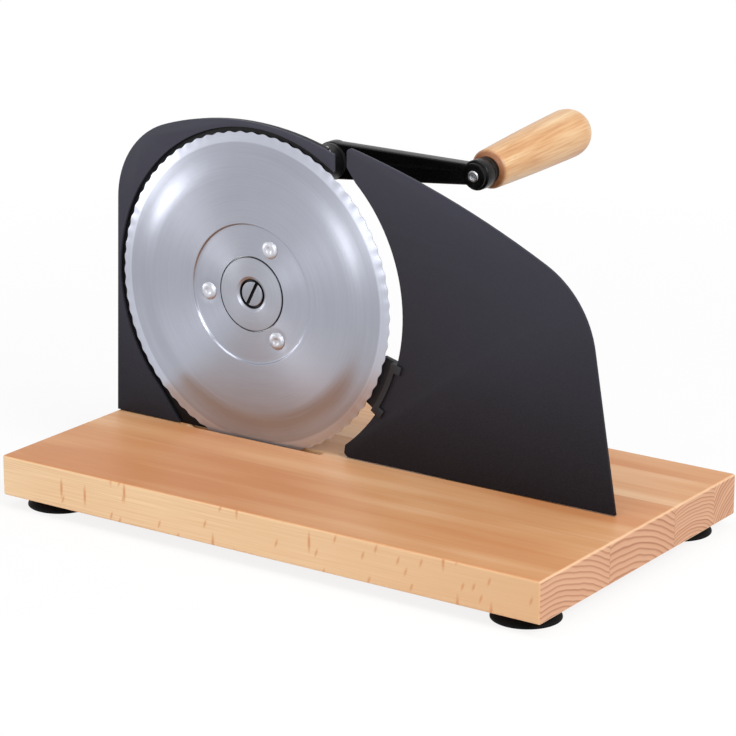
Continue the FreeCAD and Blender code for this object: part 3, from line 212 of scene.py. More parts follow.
boardWood = {
    "stave": (-0.0646, 0.0054, 0.0504),        # glue lines, metres from front to rear
    "pith": ((-0.130, -0.090), (-0.056, -0.063), (0.0216, -0.040), (0.095, -0.020)),
    "ring": (3.3, 3.7, 2.2, 2.4),              # ring widths in millimetres
    "tone": (-0.07, -0.02, 0.10, -0.01),       # how light each stave's top is
    "top": (tone(196, 133, 86), tone(208, 154, 109), tone(222, 180, 140)),
    "edge": (tone(222, 182, 140), tone(230, 195, 154), tone(238, 207, 168)),
    # Painted shade: the long edges' colour turns darker at the right, after the photograph, whose light falls off
    # there
    "far": tone(208, 160, 116),
    "farSpan": (-0.12, 0.2, 0.0, 0.8),         # from and to on X in metres, and how much of it
    "end": (tone(212, 166, 134), tone(196, 146, 112), tone(160, 100, 70)),
    # rim is a painted highlight: the lighter colour given to the rounded arrises
    "rim": tone(236, 200, 162),
    "fleck": tone(196, 122, 74),
    "bend": (2.2, 14.0, 14.0),                 # waves per metre along x, y and z of each noise
    "streak": (3.0, 75.0, 75.0),
    "hair": (18.0, 1700.0, 1700.0),
    "cloud": (5.5, 16.0, 16.0),
    "sway": 0.016,                             # how far the rings wander, in metres
    "seam": (0.00012, 0.0004, 0.86),           # half width, soft edge and lightness of a glue line
    "shift": (0.37, 0.11),                     # from one stave's pattern to the next's, in metres
    "cloudShare": (0.62, 0.4),                 # on top the rest is streaks, on the edges hair
    "topSpan": (0.36, 0.64), "edgeSpan": (0.36, 0.66), "endSpan": (0.1, 1.1),
    "pores": (0.55, 0.8, 0.0, 0.22),
    "turn": (0.55, 0.8),                       # how squarely a face has to look that way
    "arrisHighlightSpan": (0.15, 0.45, 0.0, 0.6),
    "tallShare": 0.72, "shortShare": 0.6,
    "tall": (9.0, 52.0, 0.14, 0.62, 3.7),      # marks on the edges, as flecks takes them
    "short": (7.0, 20.0, 0.16, 0.36, 9.1, -0.3),
}


def pick(finish, y, values):
    # The value of the stave that a point lies in, stepping up at each glue line
    total = values[0]
    for line, before, after in zip(boardWood["stave"], values, values[1:]):
        step = finish.math("GREATER_THAN", y, line)
        total = finish.math("MULTIPLY_ADD", step, after - before, total)
    return total


def flecks(finish, x, z, cellWide, cellTall, reach, share, seed, slant=0.0):
    # Slim upright marks: ellipses about the middles of stretched cells, kept in a share of them
    leaning = finish.math("MULTIPLY_ADD", z, slant, x)
    spot = finish.combine(
        finish.math("MULTIPLY_ADD", leaning, 1000 / cellWide, seed),
        finish.math("MULTIPLY_ADD", z, 1000 / cellTall, seed),
    )
    inputs = {"Vector": spot, "Scale": 1.0, "Randomness": 1.0}
    cells = finish.add("TexVoronoi", inputs, voronoi_dimensions="2D")
    near = finish.span(cells.outputs["Distance"], reach, reach * 0.25)
    kept = finish.math("LESS_THAN", finish.split(cells.outputs["Color"])[0], share)
    return finish.math("MULTIPLY", near, kept)


def beechBoard():
    finish = Finish("oiled_beech_staves")
    place = finish.at["Object"]
    x, y, z = finish.split(place)
    normal = finish.split(finish.at["Normal"])
    facing = [finish.math("ABSOLUTE", part) for part in normal]
    stave = pick(finish, y, (0.0, 1.0, 2.0, 3.0))
    shift = finish.combine(*[finish.math("MULTIPLY", stave, step) for step in boardWood["shift"]])
    moved = finish.vector("ADD", place, shift)
    # Rings: distance from the heart of the tree, bent slowly along the board
    long = finish.noise(finish.vector("MULTIPLY", moved, boardWood["bend"]), 1.0, 3.0)
    sway = finish.math("MULTIPLY_ADD", long, boardWood["sway"], -boardWood["sway"] / 2)
    fromY = finish.math("SUBTRACT", y, pick(finish, y, [p[0] for p in boardWood["pith"]]))
    fromZ = finish.math("SUBTRACT", z, pick(finish, y, [p[1] for p in boardWood["pith"]]))
    square = finish.math("MULTIPLY_ADD", fromY, fromY, finish.math("MULTIPLY", fromZ, fromZ))
    radius = finish.math("ADD", finish.math("SQRT", square), sway)
    perMetre = finish.math("DIVIDE", 1000.0, pick(finish, y, boardWood["ring"]))
    turns = finish.math("MULTIPLY", radius, perMetre)
    ring = finish.math("FRACT", turns)
    yearly = finish.noise(finish.combine(finish.math("FLOOR", turns), stave, 0.0), 3.1, 0.0)
    late = finish.ramp(ring, (0.0, 0.75), (0.12, 0.05), (0.6, 0.25), (0.86, 0.9), (1.0, 0.8))
    # Streaks along the grain, long and soft, and hair-fine
    streak = finish.noise(finish.vector("MULTIPLY", moved, boardWood["streak"]), 1.0, 4.0, 0.6)
    hair = finish.noise(finish.vector("MULTIPLY", moved, boardWood["hair"]), 1.0, 2.0, 0.5)
    cloud = finish.noise(finish.vector("MULTIPLY", moved, boardWood["cloud"]), 1.0, 2.0)
    # Top and underside
    onTop, onEdge = boardWood["cloudShare"]
    flat = finish.math("MULTIPLY_ADD", cloud, onTop, finish.math("MULTIPLY", streak, 1 - onTop))
    flat = finish.math("ADD", flat, pick(finish, y, boardWood["tone"]))
    thirds = (0.0, 0.5, 1.0)
    topColour = finish.ramp(finish.span(flat, *boardWood["topSpan"]), *zip(thirds, boardWood["top"]))
    pore = finish.span(hair, *boardWood["pores"])
    topColour = finish.mix(pore, topColour, boardWood["fleck"])
    # Long edges, cut along the rays
    edgeBlend = finish.math("MULTIPLY_ADD", cloud, onEdge, finish.math("MULTIPLY", hair, 1 - onEdge))
    edgeBlend = finish.span(edgeBlend, *boardWood["edgeSpan"])
    edgeColour = finish.ramp(edgeBlend, *zip(thirds, boardWood["edge"]))
    tall = flecks(finish, x, z, *boardWood["tall"])
    tall = finish.math("MULTIPLY", tall, boardWood["tallShare"])
    short = flecks(finish, x, z, *boardWood["short"])
    short = finish.math("MULTIPLY", short, boardWood["shortShare"])
    mark = finish.math("MAXIMUM", tall, short)
    # Painted shade: the long edges turn darker towards the right
    edgeColour = finish.mix(finish.span(x, *boardWood["farSpan"]), edgeColour, boardWood["far"])
    edgeColour = finish.mix(mark, edgeColour, boardWood["fleck"])
    # Sawn ends, across the rings
    endBlend = finish.math("MULTIPLY_ADD", yearly, 0.5, finish.math("MULTIPLY", late, 0.75))
    endColour = finish.ramp(finish.span(endBlend, *boardWood["endSpan"]), *zip(thirds, boardWood["end"]))
    # Which cut shows, by the way the surface faces
    colour = finish.mix(finish.span(facing[1], *boardWood["turn"]), topColour, edgeColour)
    colour = finish.mix(finish.span(facing[0], *boardWood["turn"]), colour, endColour)
    # Painted highlight: the rounded arrises at the ends, and a little at the long edges, turn lighter
    corner = finish.math("MULTIPLY_ADD", facing[1], 0.3, facing[0])
    corner = finish.math("MULTIPLY", facing[2], corner)
    colour = finish.mix(finish.span(corner, *boardWood["arrisHighlightSpan"]), colour, boardWood["rim"])
    # A thin dark glue line at the two front joints
    seam = 1.0
    for line in boardWood["stave"][:2]:
        near = finish.math("ABSOLUTE", finish.math("SUBTRACT", y, line))
        seam = finish.math("MULTIPLY", seam, finish.span(near, *boardWood["seam"], 1.0))
    colour = finish.mix(1.0, colour, finish.combine(seam, seam, seam), "MULTIPLY")
    sawn = finish.span(facing[0], 0.5, 0.8, 0.0, 1.2)
    relief = finish.math("MULTIPLY_ADD", late, sawn, hair)
    return finish.set(
        Base_Color=colour,
        Roughness=finish.span(hair, 0.3, 0.7, 0.42, 0.52),
        Specular_IOR_Level=0.3,
        Normal=finish.bump(relief, 0.00006, 0.5),
    )


grip = {
    "start": 13.1, "length": 97.0, "thin": 11.4, "thick": 14.4, "chamfer": 1.5, "belly": 0.3,
    "end": 13.0, "round": 2.2, "short": 0.3,   # the end's length, its power, and what it is cut by
    "pocket": 6.6, "pocketDepth": 14.0, "mouth": (0.8, 0.7), "bore": 3.05, "soften": 0.3,
}
gripWood = {
    "light": tone(224, 192, 150),
    "mid": tone(204, 155, 107),
    "dark": tone(178, 125, 82),
    "fleck": tone(160, 108, 70),
    "sawn": tone(150, 92, 58),
    "streak": (90.0, 7.0, 55.0),               # waves per metre across, along and up
    "hair": (900.0, 30.0, 900.0),
    "marks": (9.0, 1.6, 0.3, 0.12, 5.3),       # as flecks takes them
    "markShare": 0.22,
}


def beechGrip(pivot, lean):
    # The grain follows the handle's own leaning axis
    finish = Finish("lacquered_beech_grip")
    inputs = {"Vector": finish.at["Object"], "Location": pivot, "Rotation": (lean, 0, 0)}
    local = finish.add("Mapping", inputs, vector_type="TEXTURE").outputs[0]
    x, y, _ = finish.split(local)
    streak = finish.noise(finish.vector("MULTIPLY", local, gripWood["streak"]), 1.0, 3.0)
    hair = finish.noise(finish.vector("MULTIPLY", local, gripWood["hair"]), 1.0, 2.0)
    blend = finish.math("ADD", finish.math("MULTIPLY", streak, 0.7), finish.math("MULTIPLY", hair, 0.3))
    stops = ((0.0, gripWood["dark"]), (0.45, gripWood["mid"]), (1.0, gripWood["light"]))
    colour = finish.ramp(finish.span(blend, 0.34, 0.62), *stops)
    mark = flecks(finish, y, x, *gripWood["marks"])
    mark = finish.math("MULTIPLY", mark, gripWood["markShare"])
    colour = finish.mix(mark, colour, gripWood["fleck"])
    sawn = (grip["start"] + 0.4) * mm, (grip["start"] + grip["chamfer"] + 0.6) * mm
    colour = finish.mix(finish.span(y, *sawn, 0.85, 0.0), colour, gripWood["sawn"])
    return finish.set(
        Base_Color=colour,
        Roughness=finish.span(hair, 0.3, 0.7, 0.32, 0.42),
        Normal=finish.bump(hair, 0.00004, 0.4),
    )


# Metal, plastic and rubber

brushed = {
    "grooves": 5200.0,                         # per metre outwards
    "waver": 1.6, "patches": 24.0, "light": 1.08, "dark": 0.9,
    # Painted shade for a screw's slot: its dark colour, soft edge and share
    "slotShade": (0.004, 0.004, 0.005, 1), "slotShadeSoft": 0.2, "slotShadeShare": 0.96,
}


def turnedSteel(name, centre, colour, roughness, anisotropic, groove, bands=(), slotStart=None):
    # Lathe-turned or circularly brushed steel, with rings about the piece's own axis along Y.
    # A band (inner, outer, soft, gain) multiplies the colour between two radii, in millimetres.
    # Beyond slotStart, a place on Y in metres, the screw's slot is painted dark as painted shade
    finish = Finish(name)
    shifted = finish.vector("SUBTRACT", finish.at["Object"], centre)
    x, _, z = finish.split(shifted)
    radius = finish.vector("LENGTH", finish.combine(x, 0.0, z))
    angle = finish.math("ARCTAN2", z, x)
    around = finish.combine(
        finish.math("MULTIPLY", radius, brushed["grooves"]),
        finish.math("MULTIPLY", finish.math("COSINE", angle), brushed["waver"]),
        finish.math("MULTIPLY", finish.math("SINE", angle), brushed["waver"]),
    )
    ringNoise = finish.noise(around, 1.0, 2.0)
    patch = finish.noise(finish.at["Object"], brushed["patches"], 2.0)
    light = tuple(min(1.0, part * brushed["light"]) for part in colour[:3]) + (1.0,)
    dark = tuple(part * brushed["dark"] for part in colour[:3]) + (1.0,)
    blend = finish.math("MULTIPLY_ADD", ringNoise, 0.6, finish.math("MULTIPLY", patch, 0.4))
    steel = finish.mix(finish.span(blend, 0.3, 0.7), dark, light)
    for inner, outer, soft, gain in bands:
        rise = finish.span(radius, (inner - soft) * mm, inner * mm)
        fall = finish.span(radius, outer * mm, (outer + soft) * mm, 1.0, 0.0)
        level = finish.math("MULTIPLY_ADD", finish.math("MULTIPLY", rise, fall), gain - 1, 1.0)
        steel = finish.mix(1.0, steel, finish.combine(level, level, level), "MULTIPLY")
    # Painted shade: the slot's floor and all that lies behind it are darkened
    if slotStart is not None:
        depth = finish.split(finish.at["Object"])[1]
        slotEnd = slotStart + brushed["slotShadeSoft"] * mm
        slotShade = finish.span(depth, slotStart, slotEnd, 0.0, brushed["slotShadeShare"])
        steel = finish.mix(slotShade, steel, brushed["slotShade"])
    finish.set(
        Base_Color=steel,
        Metallic=1.0,
        Roughness=finish.span(ringNoise, 0.25, 0.75, roughness * 0.85, roughness * 1.15),
        Normal=finish.bump(ringNoise, groove),
    )
    if anisotropic:
        tangent = finish.add("Tangent", direction_type="UV_MAP").outputs[0]
        finish.set(Anisotropic=anisotropic, Anisotropic_Rotation=0.25, Tangent=tangent)
    return finish.material


def axisOf(jointName):
    return tuple(joints[jointName]["pos_m"])


bladeAxis = axisOf("blade_spin")
crankAxis = axisOf("crank_turn")
gripPivot = Vector(axisOf("handle_spin"))
gripAxis = Vector(joints["handle_spin"]["axis"]).normalized()
gripLean = math.atan2(gripAxis.z, gripAxis.y)
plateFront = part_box("blade_plate")[0][1]

finishes = {
    "board": beechBoard(),
    "grip": beechGrip(gripPivot, gripLean),
    "sheet": sheetBlack(),
    "arm": coated("gloss_black_enamel", (0.0020, 0.0016, 0.0018, 1), 0.30, 900, 0.00003, gloss=0.2),
    "moulding": coated("black_moulded_plastic", (0.0045, 0.0042, 0.0052, 1), 0.50, 1300, 0.00006,
                       gloss=0.16),
    "guard": coated("ribbed_black_plastic", (0.016, 0.015, 0.018, 1), 0.44, 1300, 0.00006,
                    gloss=0.25),
    "rubber": coated("black_suction_rubber", (0.003, 0.003, 0.003, 1), 0.62, 800, 0.00005,
                     gloss=0.12),
    "nylon": coated("natural_nylon", (0.72, 0.70, 0.62, 1), 0.5, 400, 0.00003),
    "zinc": coated("zinc_plated_steel", (0.52, 0.53, 0.55, 1), 0.34, 700, 0.00003, metallic=1.0),
    "bronze": coated("sintered_bronze", (0.46, 0.29, 0.13, 1), 0.5, 1200, 0.00005, metallic=1.0),
    "steel": coated("ground_steel", (0.55, 0.56, 0.58, 1), 0.32, 900, 0.00002, metallic=1.0),
    # The bands paint the ground bevel lighter, and dark lines round the hub and round its screw, which are painted
    # shade in the gaps there
    "blade": turnedSteel("brushed_blade_steel", bladeAxis, (0.375, 0.39, 0.45, 1), 0.34, 0.75, 0.000012,
                         bands=[(88.6, 100, 0.8, 1.35)]),
    "hub": turnedSteel("turned_hub_steel", bladeAxis, (0.36, 0.37, 0.42, 1), 0.36, 0.5, 0.000012,
                       bands=[(7.5, 8.7, 0.2, 0.12), (21.5, 23.0, 0.2, 0.2)]),
    "screw": turnedSteel("slotted_screw_steel", bladeAxis, (0.30, 0.31, 0.35, 1), 0.36, 0.0, 0.000012,
                         slotStart=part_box("blade_screw")[0][1] + 0.25 * mm),
    "rivet": coated("peened_rivet_steel", (0.50, 0.51, 0.56, 1), 0.40, 500, 0.00003, metallic=1.0),
    "blacked": coated("blackened_steel", (0.012, 0.012, 0.013, 1), 0.40, 700, 0.00003, gloss=0.25),
}
print("finishes made:", len(finishes))


# Surface helpers

def softPath(corners, reach, steps=5):
    # Each inner corner C turns into the curve (1-t)^2 A + 2t(1-t) C + t^2 B, where A and B lie
    # reach away from C towards its neighbours
    corners = np.asarray(corners, float)
    back = corners[:-2] - corners[1:-1]
    ahead = corners[2:] - corners[1:-1]
    backLength = np.linalg.norm(back, axis=1, keepdims=True)
    aheadLength = np.linalg.norm(ahead, axis=1, keepdims=True)
    cut = np.minimum(reach, 0.45 * np.minimum(backLength, aheadLength))
    start = (corners[1:-1] + back / backLength * cut)[:, None]
    end = (corners[1:-1] + ahead / aheadLength * cut)[:, None]
    t = np.linspace(0, 1, steps)[None, :, None]
    curve = (1 - t) ** 2 * start + 2 * t * (1 - t) * corners[1:-1][:, None] + t ** 2 * end
    return np.concatenate([corners[:1], curve.reshape(-1, 2), corners[-1:]])


def gridMesh(name, grid, material, closed=False, sharp=35):
    # Joins a grid of points [row, column] into faces; columns close round, and rows too if closed
    rows, columns = grid.shape[:2]
    number = np.arange(rows * columns).reshape(rows, columns)
    if closed:
        number = np.concatenate([number, number[:1]])
    right = np.roll(number, -1, axis=1)
    faces = np.stack([number[:-1], number[1:], right[1:], right[:-1]], axis=-1).reshape(-1, 4)
    mesh = bpy.data.meshes.new(name)
    mesh.from_pydata(grid.reshape(-1, 3).tolist(), [], faces.tolist())
    wide = np.arange(columns) / columns
    tall = np.arange(number.shape[0]) / max(1, number.shape[0] - 1)
    u0, v0 = np.meshgrid(wide, tall[:-1])
    u1, v1 = np.meshgrid(wide + 1 / columns, tall[1:])
    corners = np.stack([u0, v0, u0, v1, u1, v1, u1, v0], axis=-1)
    mesh.uv_layers.new(name="surface").data.foreach_set("uv", corners.ravel())
    shape = bmesh.new()
    shape.from_mesh(mesh)
    bmesh.ops.remove_doubles(shape, verts=shape.verts, dist=1e-6)
    bmesh.ops.recalc_face_normals(shape, faces=shape.faces)
    shape.to_mesh(mesh)
    shape.free()
    mesh.shade_smooth()
    mesh.set_sharp_from_angle(angle=math.radians(sharp))
    mesh.materials.append(material)
    piece = bpy.data.objects.new(name, mesh)
    scene.collection.objects.link(piece)
    return piece


def turned(name, path, centre, axis, material, count=96, closed=False, sharp=35):
    # point = centre + along * axis + radius * (cos a * side + sin a * other), for each (radius, along)
    axis = np.array(axis, float)
    side = np.cross(axis, (0, 0, 1) if abs(axis[2]) < 0.9 else (1, 0, 0))
    side /= np.linalg.norm(side)
    other = np.cross(axis, side)
    angle = np.linspace(0, 2 * np.pi, count, endpoint=False)[None, :, None]
    radius = np.asarray(path)[:, 0][:, None, None] * mm
    along = np.asarray(path)[:, 1][:, None, None] * mm
    spokes = np.cos(angle) * side + np.sin(angle) * other
    grid = np.array(centre) + along * axis + radius * spokes
    return gridMesh(name, grid, material, closed, sharp)


def stands(piece, body, slot, *replaced):
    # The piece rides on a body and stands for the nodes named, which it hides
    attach(piece, body)
    if replaced:
        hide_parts(*replaced)
    return piece


# Blade

blade = {
    "tip": 94.2, "teeth": 72, "depth": 0.85, "bevel": 88.5,
    "hole": 22.4, "seat": 41.0, "seatDepth": 1.0, "dish": 2.2, "flat": 72.0, "shoulder": 80.5,
    "thick": 1.2, "edge": 0.3,
    "rivetCircle": 30.7, "rivetAngle": 65.0, "dent": 0.28, "dentReach": 6.6,
    "seatWall": (-0.3, 0.4), "seatStop": 1.2,  # both measured from the seat's own radius
    "lift": 0.2,                               # share of the dish that is left at the shoulder
    "curves": ((0.5, 6), (0.35, 6), (3.6, 14), (3.2, 10)),  # reach and points at each corner
    "pointsPerTooth": 10, "wave": 0.04,
}


def bladeFace(offset):
    # (radius, height towards the rear) from the hole to the bevel
    corners = [
        (blade["hole"], offset - blade["seatDepth"]),
        (blade["seat"] + blade["seatWall"][0], offset - blade["seatDepth"]),
        (blade["seat"] + blade["seatWall"][1], offset - blade["dish"]),
        (blade["flat"], offset - blade["dish"]),
        (blade["shoulder"], offset - blade["lift"] * blade["dish"]),
        (blade["bevel"], offset),
    ]
    seat = np.linspace(corners[0][0], corners[1][0] - blade["seatStop"], 18)[:-1]
    pieces = [np.stack([seat, np.full_like(seat, corners[0][1])], axis=1)]
    for k, (reach, steps) in enumerate(blade["curves"]):
        pieces.append(softPath(corners[k:k + 3], reach, steps)[1:-1])
    return np.concatenate(pieces)


def makeBlade():
    front = bladeFace(0.0)
    rear = bladeFace(blade["thick"])[::-1]
    s = np.linspace(0, 1, 9)[:, None]
    bevel = (1 - s) * [blade["bevel"], 0.0] + s * [blade["tip"], blade["thick"] - blade["edge"]]
    back = (1 - s) * [blade["tip"], blade["thick"]] + s * [blade["bevel"], blade["thick"]]
    path = np.concatenate([front, bevel, back, rear])
    count = blade["teeth"] * blade["pointsPerTooth"]
    angle = np.linspace(0, 2 * np.pi, count, endpoint=False)[None, :]
    radius = np.repeat(path[:, :1], count, axis=1)
    height = np.repeat(path[:, 1:], count, axis=1)
    # Gullets: sin^2 waves round the edge. A point of the bevel that moves inwards keeps to its
    # cone, height = slope * (radius - bevel), with a faint wave of its own
    gullet = np.sin(angle * blade["teeth"] / 2) ** 2
    wide = blade["tip"] - blade["bevel"]
    share = np.clip((radius - blade["bevel"]) / wide, 0, 1)
    inward = blade["depth"] * gullet * share
    slope = (blade["thick"] - blade["edge"]) / wide
    onBevel = (share > 0) & (height < blade["thick"] - blade["edge"] / 2)
    radius = radius - inward
    height = height + np.where(onBevel, blade["wave"] * gullet * share - slope * inward, 0)
    # A shallow dent round each rivet: depth * exp(-((distance / reach)^2)^3)
    for k in range(3):
        turn = math.radians(blade["rivetAngle"] + 120 * k)
        across = radius * np.cos(angle) - blade["rivetCircle"] * math.cos(turn)
        up = radius * np.sin(angle) - blade["rivetCircle"] * math.sin(turn)
        dent = np.exp(-((across ** 2 + up ** 2) / blade["dentReach"] ** 2) ** 3)
        height = height + blade["dent"] * dent
    grid = np.stack([
        bladeAxis[0] + radius * np.cos(angle) * mm,
        plateFront + height * mm,
        bladeAxis[2] + radius * np.sin(angle) * mm,
    ], axis=-1)
    piece = gridMesh("serrated_blade", grid, finishes["blade"], closed=True, sharp=40)
    return stands(piece, "blade_unit", "blade_steel", "blade")


makeBlade()

# A rivet's outline as (radius, depth): the peened head in front, then the shank
rivet = {
    "head": [(0, -0.55), (1.3, -0.6), (2.2, -0.9), (3.7, -0.85), (5.3, -0.15), (5.3, 0.9)],
    "shank": [(2.5, 0.9), (2.5, 5.2), (0, 5.2)],
    "soften": 0.6,
}
rivetPath = np.concatenate([softPath(rivet["head"], rivet["soften"]), rivet["shank"]])
for k in range(3):
    turn = math.radians(blade["rivetAngle"] + 120 * k)
    node = "blade_rivet_%d" % (k + 1)
    centre = (
        bladeAxis[0] + blade["rivetCircle"] * mm * math.cos(turn),
        plateFront - blade["seatDepth"] * mm,
        bladeAxis[2] + blade["rivetCircle"] * mm * math.sin(turn),
    )
    piece = turned("peened_rivet_%d" % (k + 1), rivetPath, centre, (0, 1, 0), finishes["rivet"], 64)
    stands(piece, "blade_unit", "turned_steel", node)

# A disc with a sunk well for the screw, and a thick collar behind it
hub = {
    "rim": 21.8, "front": -1.3, "seat": 0.2,
    "sink": 10.4, "sinkDepth": 1.0, "well": 8.4, "floor": 1.2,
    "bore": 3.02, "cup": 12.0, "back": 3.2, "soften": 0.3,
}
hubPath = softPath([
    (hub["bore"], hub["floor"]), (hub["well"], hub["floor"]),
    (hub["well"], hub["front"] + hub["sinkDepth"]), (hub["sink"], hub["front"]),
    (hub["rim"], hub["front"]), (hub["rim"], hub["seat"]),
    (hub["cup"], hub["seat"]), (hub["cup"], hub["back"]),
    (hub["bore"], hub["back"]), (hub["bore"], hub["floor"]),
], hub["soften"])
hubCentre = (bladeAxis[0], plateFront, bladeAxis[2])
stands(turned("clamping_hub", hubPath, hubCentre, (0, 1, 0), finishes["hub"], 128),
       "blade_unit", "turned_steel", "hub_disc")
print("blade, rivets and hub made")


# Grip and collar

def makeGrip():
    taper = grip["length"] - grip["end"]
    t = np.linspace(0, 1, 24)[:, None]
    side = (1 - t) * [grip["thin"], grip["chamfer"]] + t * [grip["thick"], taper]
    side[:, 0] += grip["belly"] * np.sin(np.pi * t[:, 0])
    # A quarter of a superellipse closes the end: with r from the mouth to the thick end and a
    # along the grip, ((r - mouth) / (thick - mouth))^round + (a / (end - short))^round = 1
    turn = np.linspace(0, np.pi / 2, 22)[1:]
    mouth = grip["pocket"] + grip["mouth"][0]
    domeRadius = mouth + (grip["thick"] - mouth) * np.cos(turn) ** (2 / grip["round"])
    domeAlong = taper + (grip["end"] - grip["short"]) * np.sin(turn) ** (2 / grip["round"])
    dome = np.stack([domeRadius, domeAlong], axis=1)
    floor = grip["length"] - grip["pocketDepth"]
    start = [(grip["bore"], 0), (grip["thin"] - grip["chamfer"], 0)]
    inside = softPath([
        dome[-1], (grip["pocket"], grip["length"] - grip["mouth"][1]),
        (grip["pocket"], floor), (grip["bore"], floor),
    ], grip["soften"])
    path = np.concatenate([start, side, dome[:-1], inside, [(grip["bore"], 0)]])
    centre = gripPivot + gripAxis * grip["start"] * mm
    return turned("turned_grip", path, centre, gripAxis, finishes["grip"], 128, sharp=50)


stands(makeGrip(), "handle", "beech_grip", "handle_grip")

# Spindle: a hollow riveted head in front of the arm's eye, then a plain pin into the grip
spindle = {
    "pin": 3.0, "past": 0.3,                   # how far the pin stands past the pocket's floor
    "head": 3.4, "front": -2.0, "tall": 1.0, "drop": 0.2, "edge": 0.3, "soften": 0.3,
    "cup": 1.5, "cupFloor": -1.7, "cupMouth": 0.25, "crest": 0.9,
    "tap": 2.05, "tapDeep": 12.0,
}
stop = grip["start"] + grip["length"] - grip["pocketDepth"] + spindle["past"]
nose = spindle["front"] - spindle["tall"]
spindlePath = np.concatenate([
    softPath([
        (0, spindle["cupFloor"]), (spindle["cup"], spindle["cupFloor"]),
        (spindle["cup"] + spindle["cupMouth"], nose + spindle["drop"]),
        (spindle["cup"] + spindle["crest"], nose),
        (spindle["head"] - spindle["edge"], nose + spindle["drop"]),
        (spindle["head"], spindle["front"]), (spindle["pin"], spindle["front"]),
    ], spindle["soften"]),
    [(spindle["pin"], stop), (spindle["tap"], stop), (spindle["tap"], stop - spindle["tapDeep"]),
     (0, stop - spindle["tapDeep"] - 1)],
])
stands(turned("hollow_riveted_spindle", spindlePath, gripPivot, gripAxis, finishes["zinc"], 64),
       "crank", slotOf["handle_spindle"], "handle_spindle")

collar = {"bore": 3.02, "radius": 8.0, "thick": 4.0, "from": 8.8, "soften": 0.5}
collarPath = softPath([
    (collar["bore"], 0), (collar["radius"], 0), (collar["radius"], collar["thick"]),
    (collar["bore"], collar["thick"]), (collar["bore"], 0),
], collar["soften"])
collarCentre = gripPivot + gripAxis * collar["from"] * mm
stands(turned("grip_collar", collarPath, collarCentre, gripAxis, finishes["arm"], 64),
       "crank", "black_plastic", "handle_collar")
print("grip made")


# Feet

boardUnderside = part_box("base_board")[0][2]
footLow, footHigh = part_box("foot_front_left")
foot = {
    "rim": (footHigh[0] - footLow[0]) / 2 / mm, "height": (boardUnderside - footLow[2]) / mm,
    "waist": 13.0, "neck": 1.5, "flare": (1.6, 2.3),
    "skirt": ((2.2, 3.4), (0.5, 1.6), (0, 0.8), (0, 0), (2.5, 0), (6, 1.9)),  # in from rim, up
    "roof": (8.0, 4.9), "recess": 4.3, "recessTop": 2.1, "recessEnd": 4.5, "hole": 2.05,
    "soften": 0.7,
}
footPath = softPath([
    (foot["hole"], 0), (foot["waist"], 0), (foot["waist"], -foot["neck"]),
    (foot["waist"] + foot["flare"][0], -foot["flare"][1]),
    *[(foot["rim"] - inward, up - foot["height"]) for inward, up in foot["skirt"]],
    (foot["roof"][0], -foot["roof"][1]),
    (foot["recess"], -foot["recessEnd"]), (foot["recess"], -foot["recessTop"]),
    (foot["hole"], -foot["recessTop"]), (foot["hole"], 0),
], foot["soften"])
for corner in ("front_left", "front_right", "rear_left", "rear_right"):
    low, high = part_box("foot_" + corner)
    centre = ((low[0] + high[0]) / 2, (low[1] + high[1]) / 2, boardUnderside)
    stands(turned("suction_foot_" + corner, footPath, centre, (0, 0, 1), finishes["rubber"], 96),
           "base", "suction_rubber", "foot_" + corner)
print("feet made")


# Pieces whose solid is right, with their edges broken

softened = {
    "blade_plate": ("sheet", 0.30), "guide_plate": ("sheet", 0.30), "crank_arm": ("arm", 0.35),
    "edge_guard": ("guard", 0.25), "gear_housing": ("moulding", 0.35), "gear_cover": ("moulding", 0.4),
    "guide_carriage": ("moulding", 0.35), "guide_block": ("moulding", 0.4),
    "adjuster_knob": ("moulding", 0.3), "crank_nut": ("blacked", 0.2), "blade_screw": ("screw", 0.15),
}
bodies = frame["record"]["behaviour"]["bodies"]
bodyOf = {node: body for body, members in bodies.items() for node in members}


def soften(node, finish, width):
    # A merged copy of the node's mesh with its sharp edges bevelled, width in millimetres
    mesh = nodes[node].data.copy()
    shape = bmesh.new()
    shape.from_mesh(mesh)
    bmesh.ops.remove_doubles(shape, verts=shape.verts, dist=2e-6)
    bmesh.ops.dissolve_limit(shape, angle_limit=math.radians(0.5), verts=shape.verts, edges=shape.edges)
    shape.to_mesh(mesh)
    shape.free()
    mesh.materials.clear()
    mesh.materials.append(finishes[finish])
    mesh.shade_smooth()
    piece = bpy.data.objects.new("finished_" + node, mesh)
    scene.collection.objects.link(piece)
    edge = piece.modifiers.new("broken edges", "BEVEL")
    edge.width = width * mm
    edge.segments = 2
    edge.limit_method = "ANGLE"
    edge.angle_limit = math.radians(32)
    edge.harden_normals = True
    edge.use_clamp_overlap = True
    return stands(piece, bodyOf[node], slotOf[node], node)


for node, (finish, width) in softened.items():
    soften(node, finish, width)

# Nodes shown as they come, with a finish each
kept = {
    "board": ["base_board"],
    "nylon": ["blade_gear"],
    "bronze": ["blade_shaft_bush", "crank_shaft_bush", "rod_bush_left", "rod_bush_right"],
    "steel": ["drive_flange", "blade_shaft", "crank_shaft", "crank_pinion",
              "guide_rod_left", "guide_rod_right", "adjuster_spindle"],
    "blacked": ["crank_washer", "crank_spacer"],
}
kept["zinc"] = [node for node, slot in slotOf.items()
                if slot == "zinc_screw" and node not in softened and node not in kept["blacked"]]
for finish, names in kept.items():
    for node in names:
        nodes[node].data.materials.clear()
        nodes[node].data.materials.append(finishes[finish])
print("solids finished:", len(softened) + sum(len(names) for names in kept.values()))


# Stage

stage = {
    "floor": 6.0,                              # metres from the middle to each side
    "pale": (0.88, 0.90), "rough": 0.9,
    "shadow": 0.15,                            # share of the floor's own shade that is seen
    "near": 0.25, "clear": 0.8,                # it is full up to near and gone from clear on
}


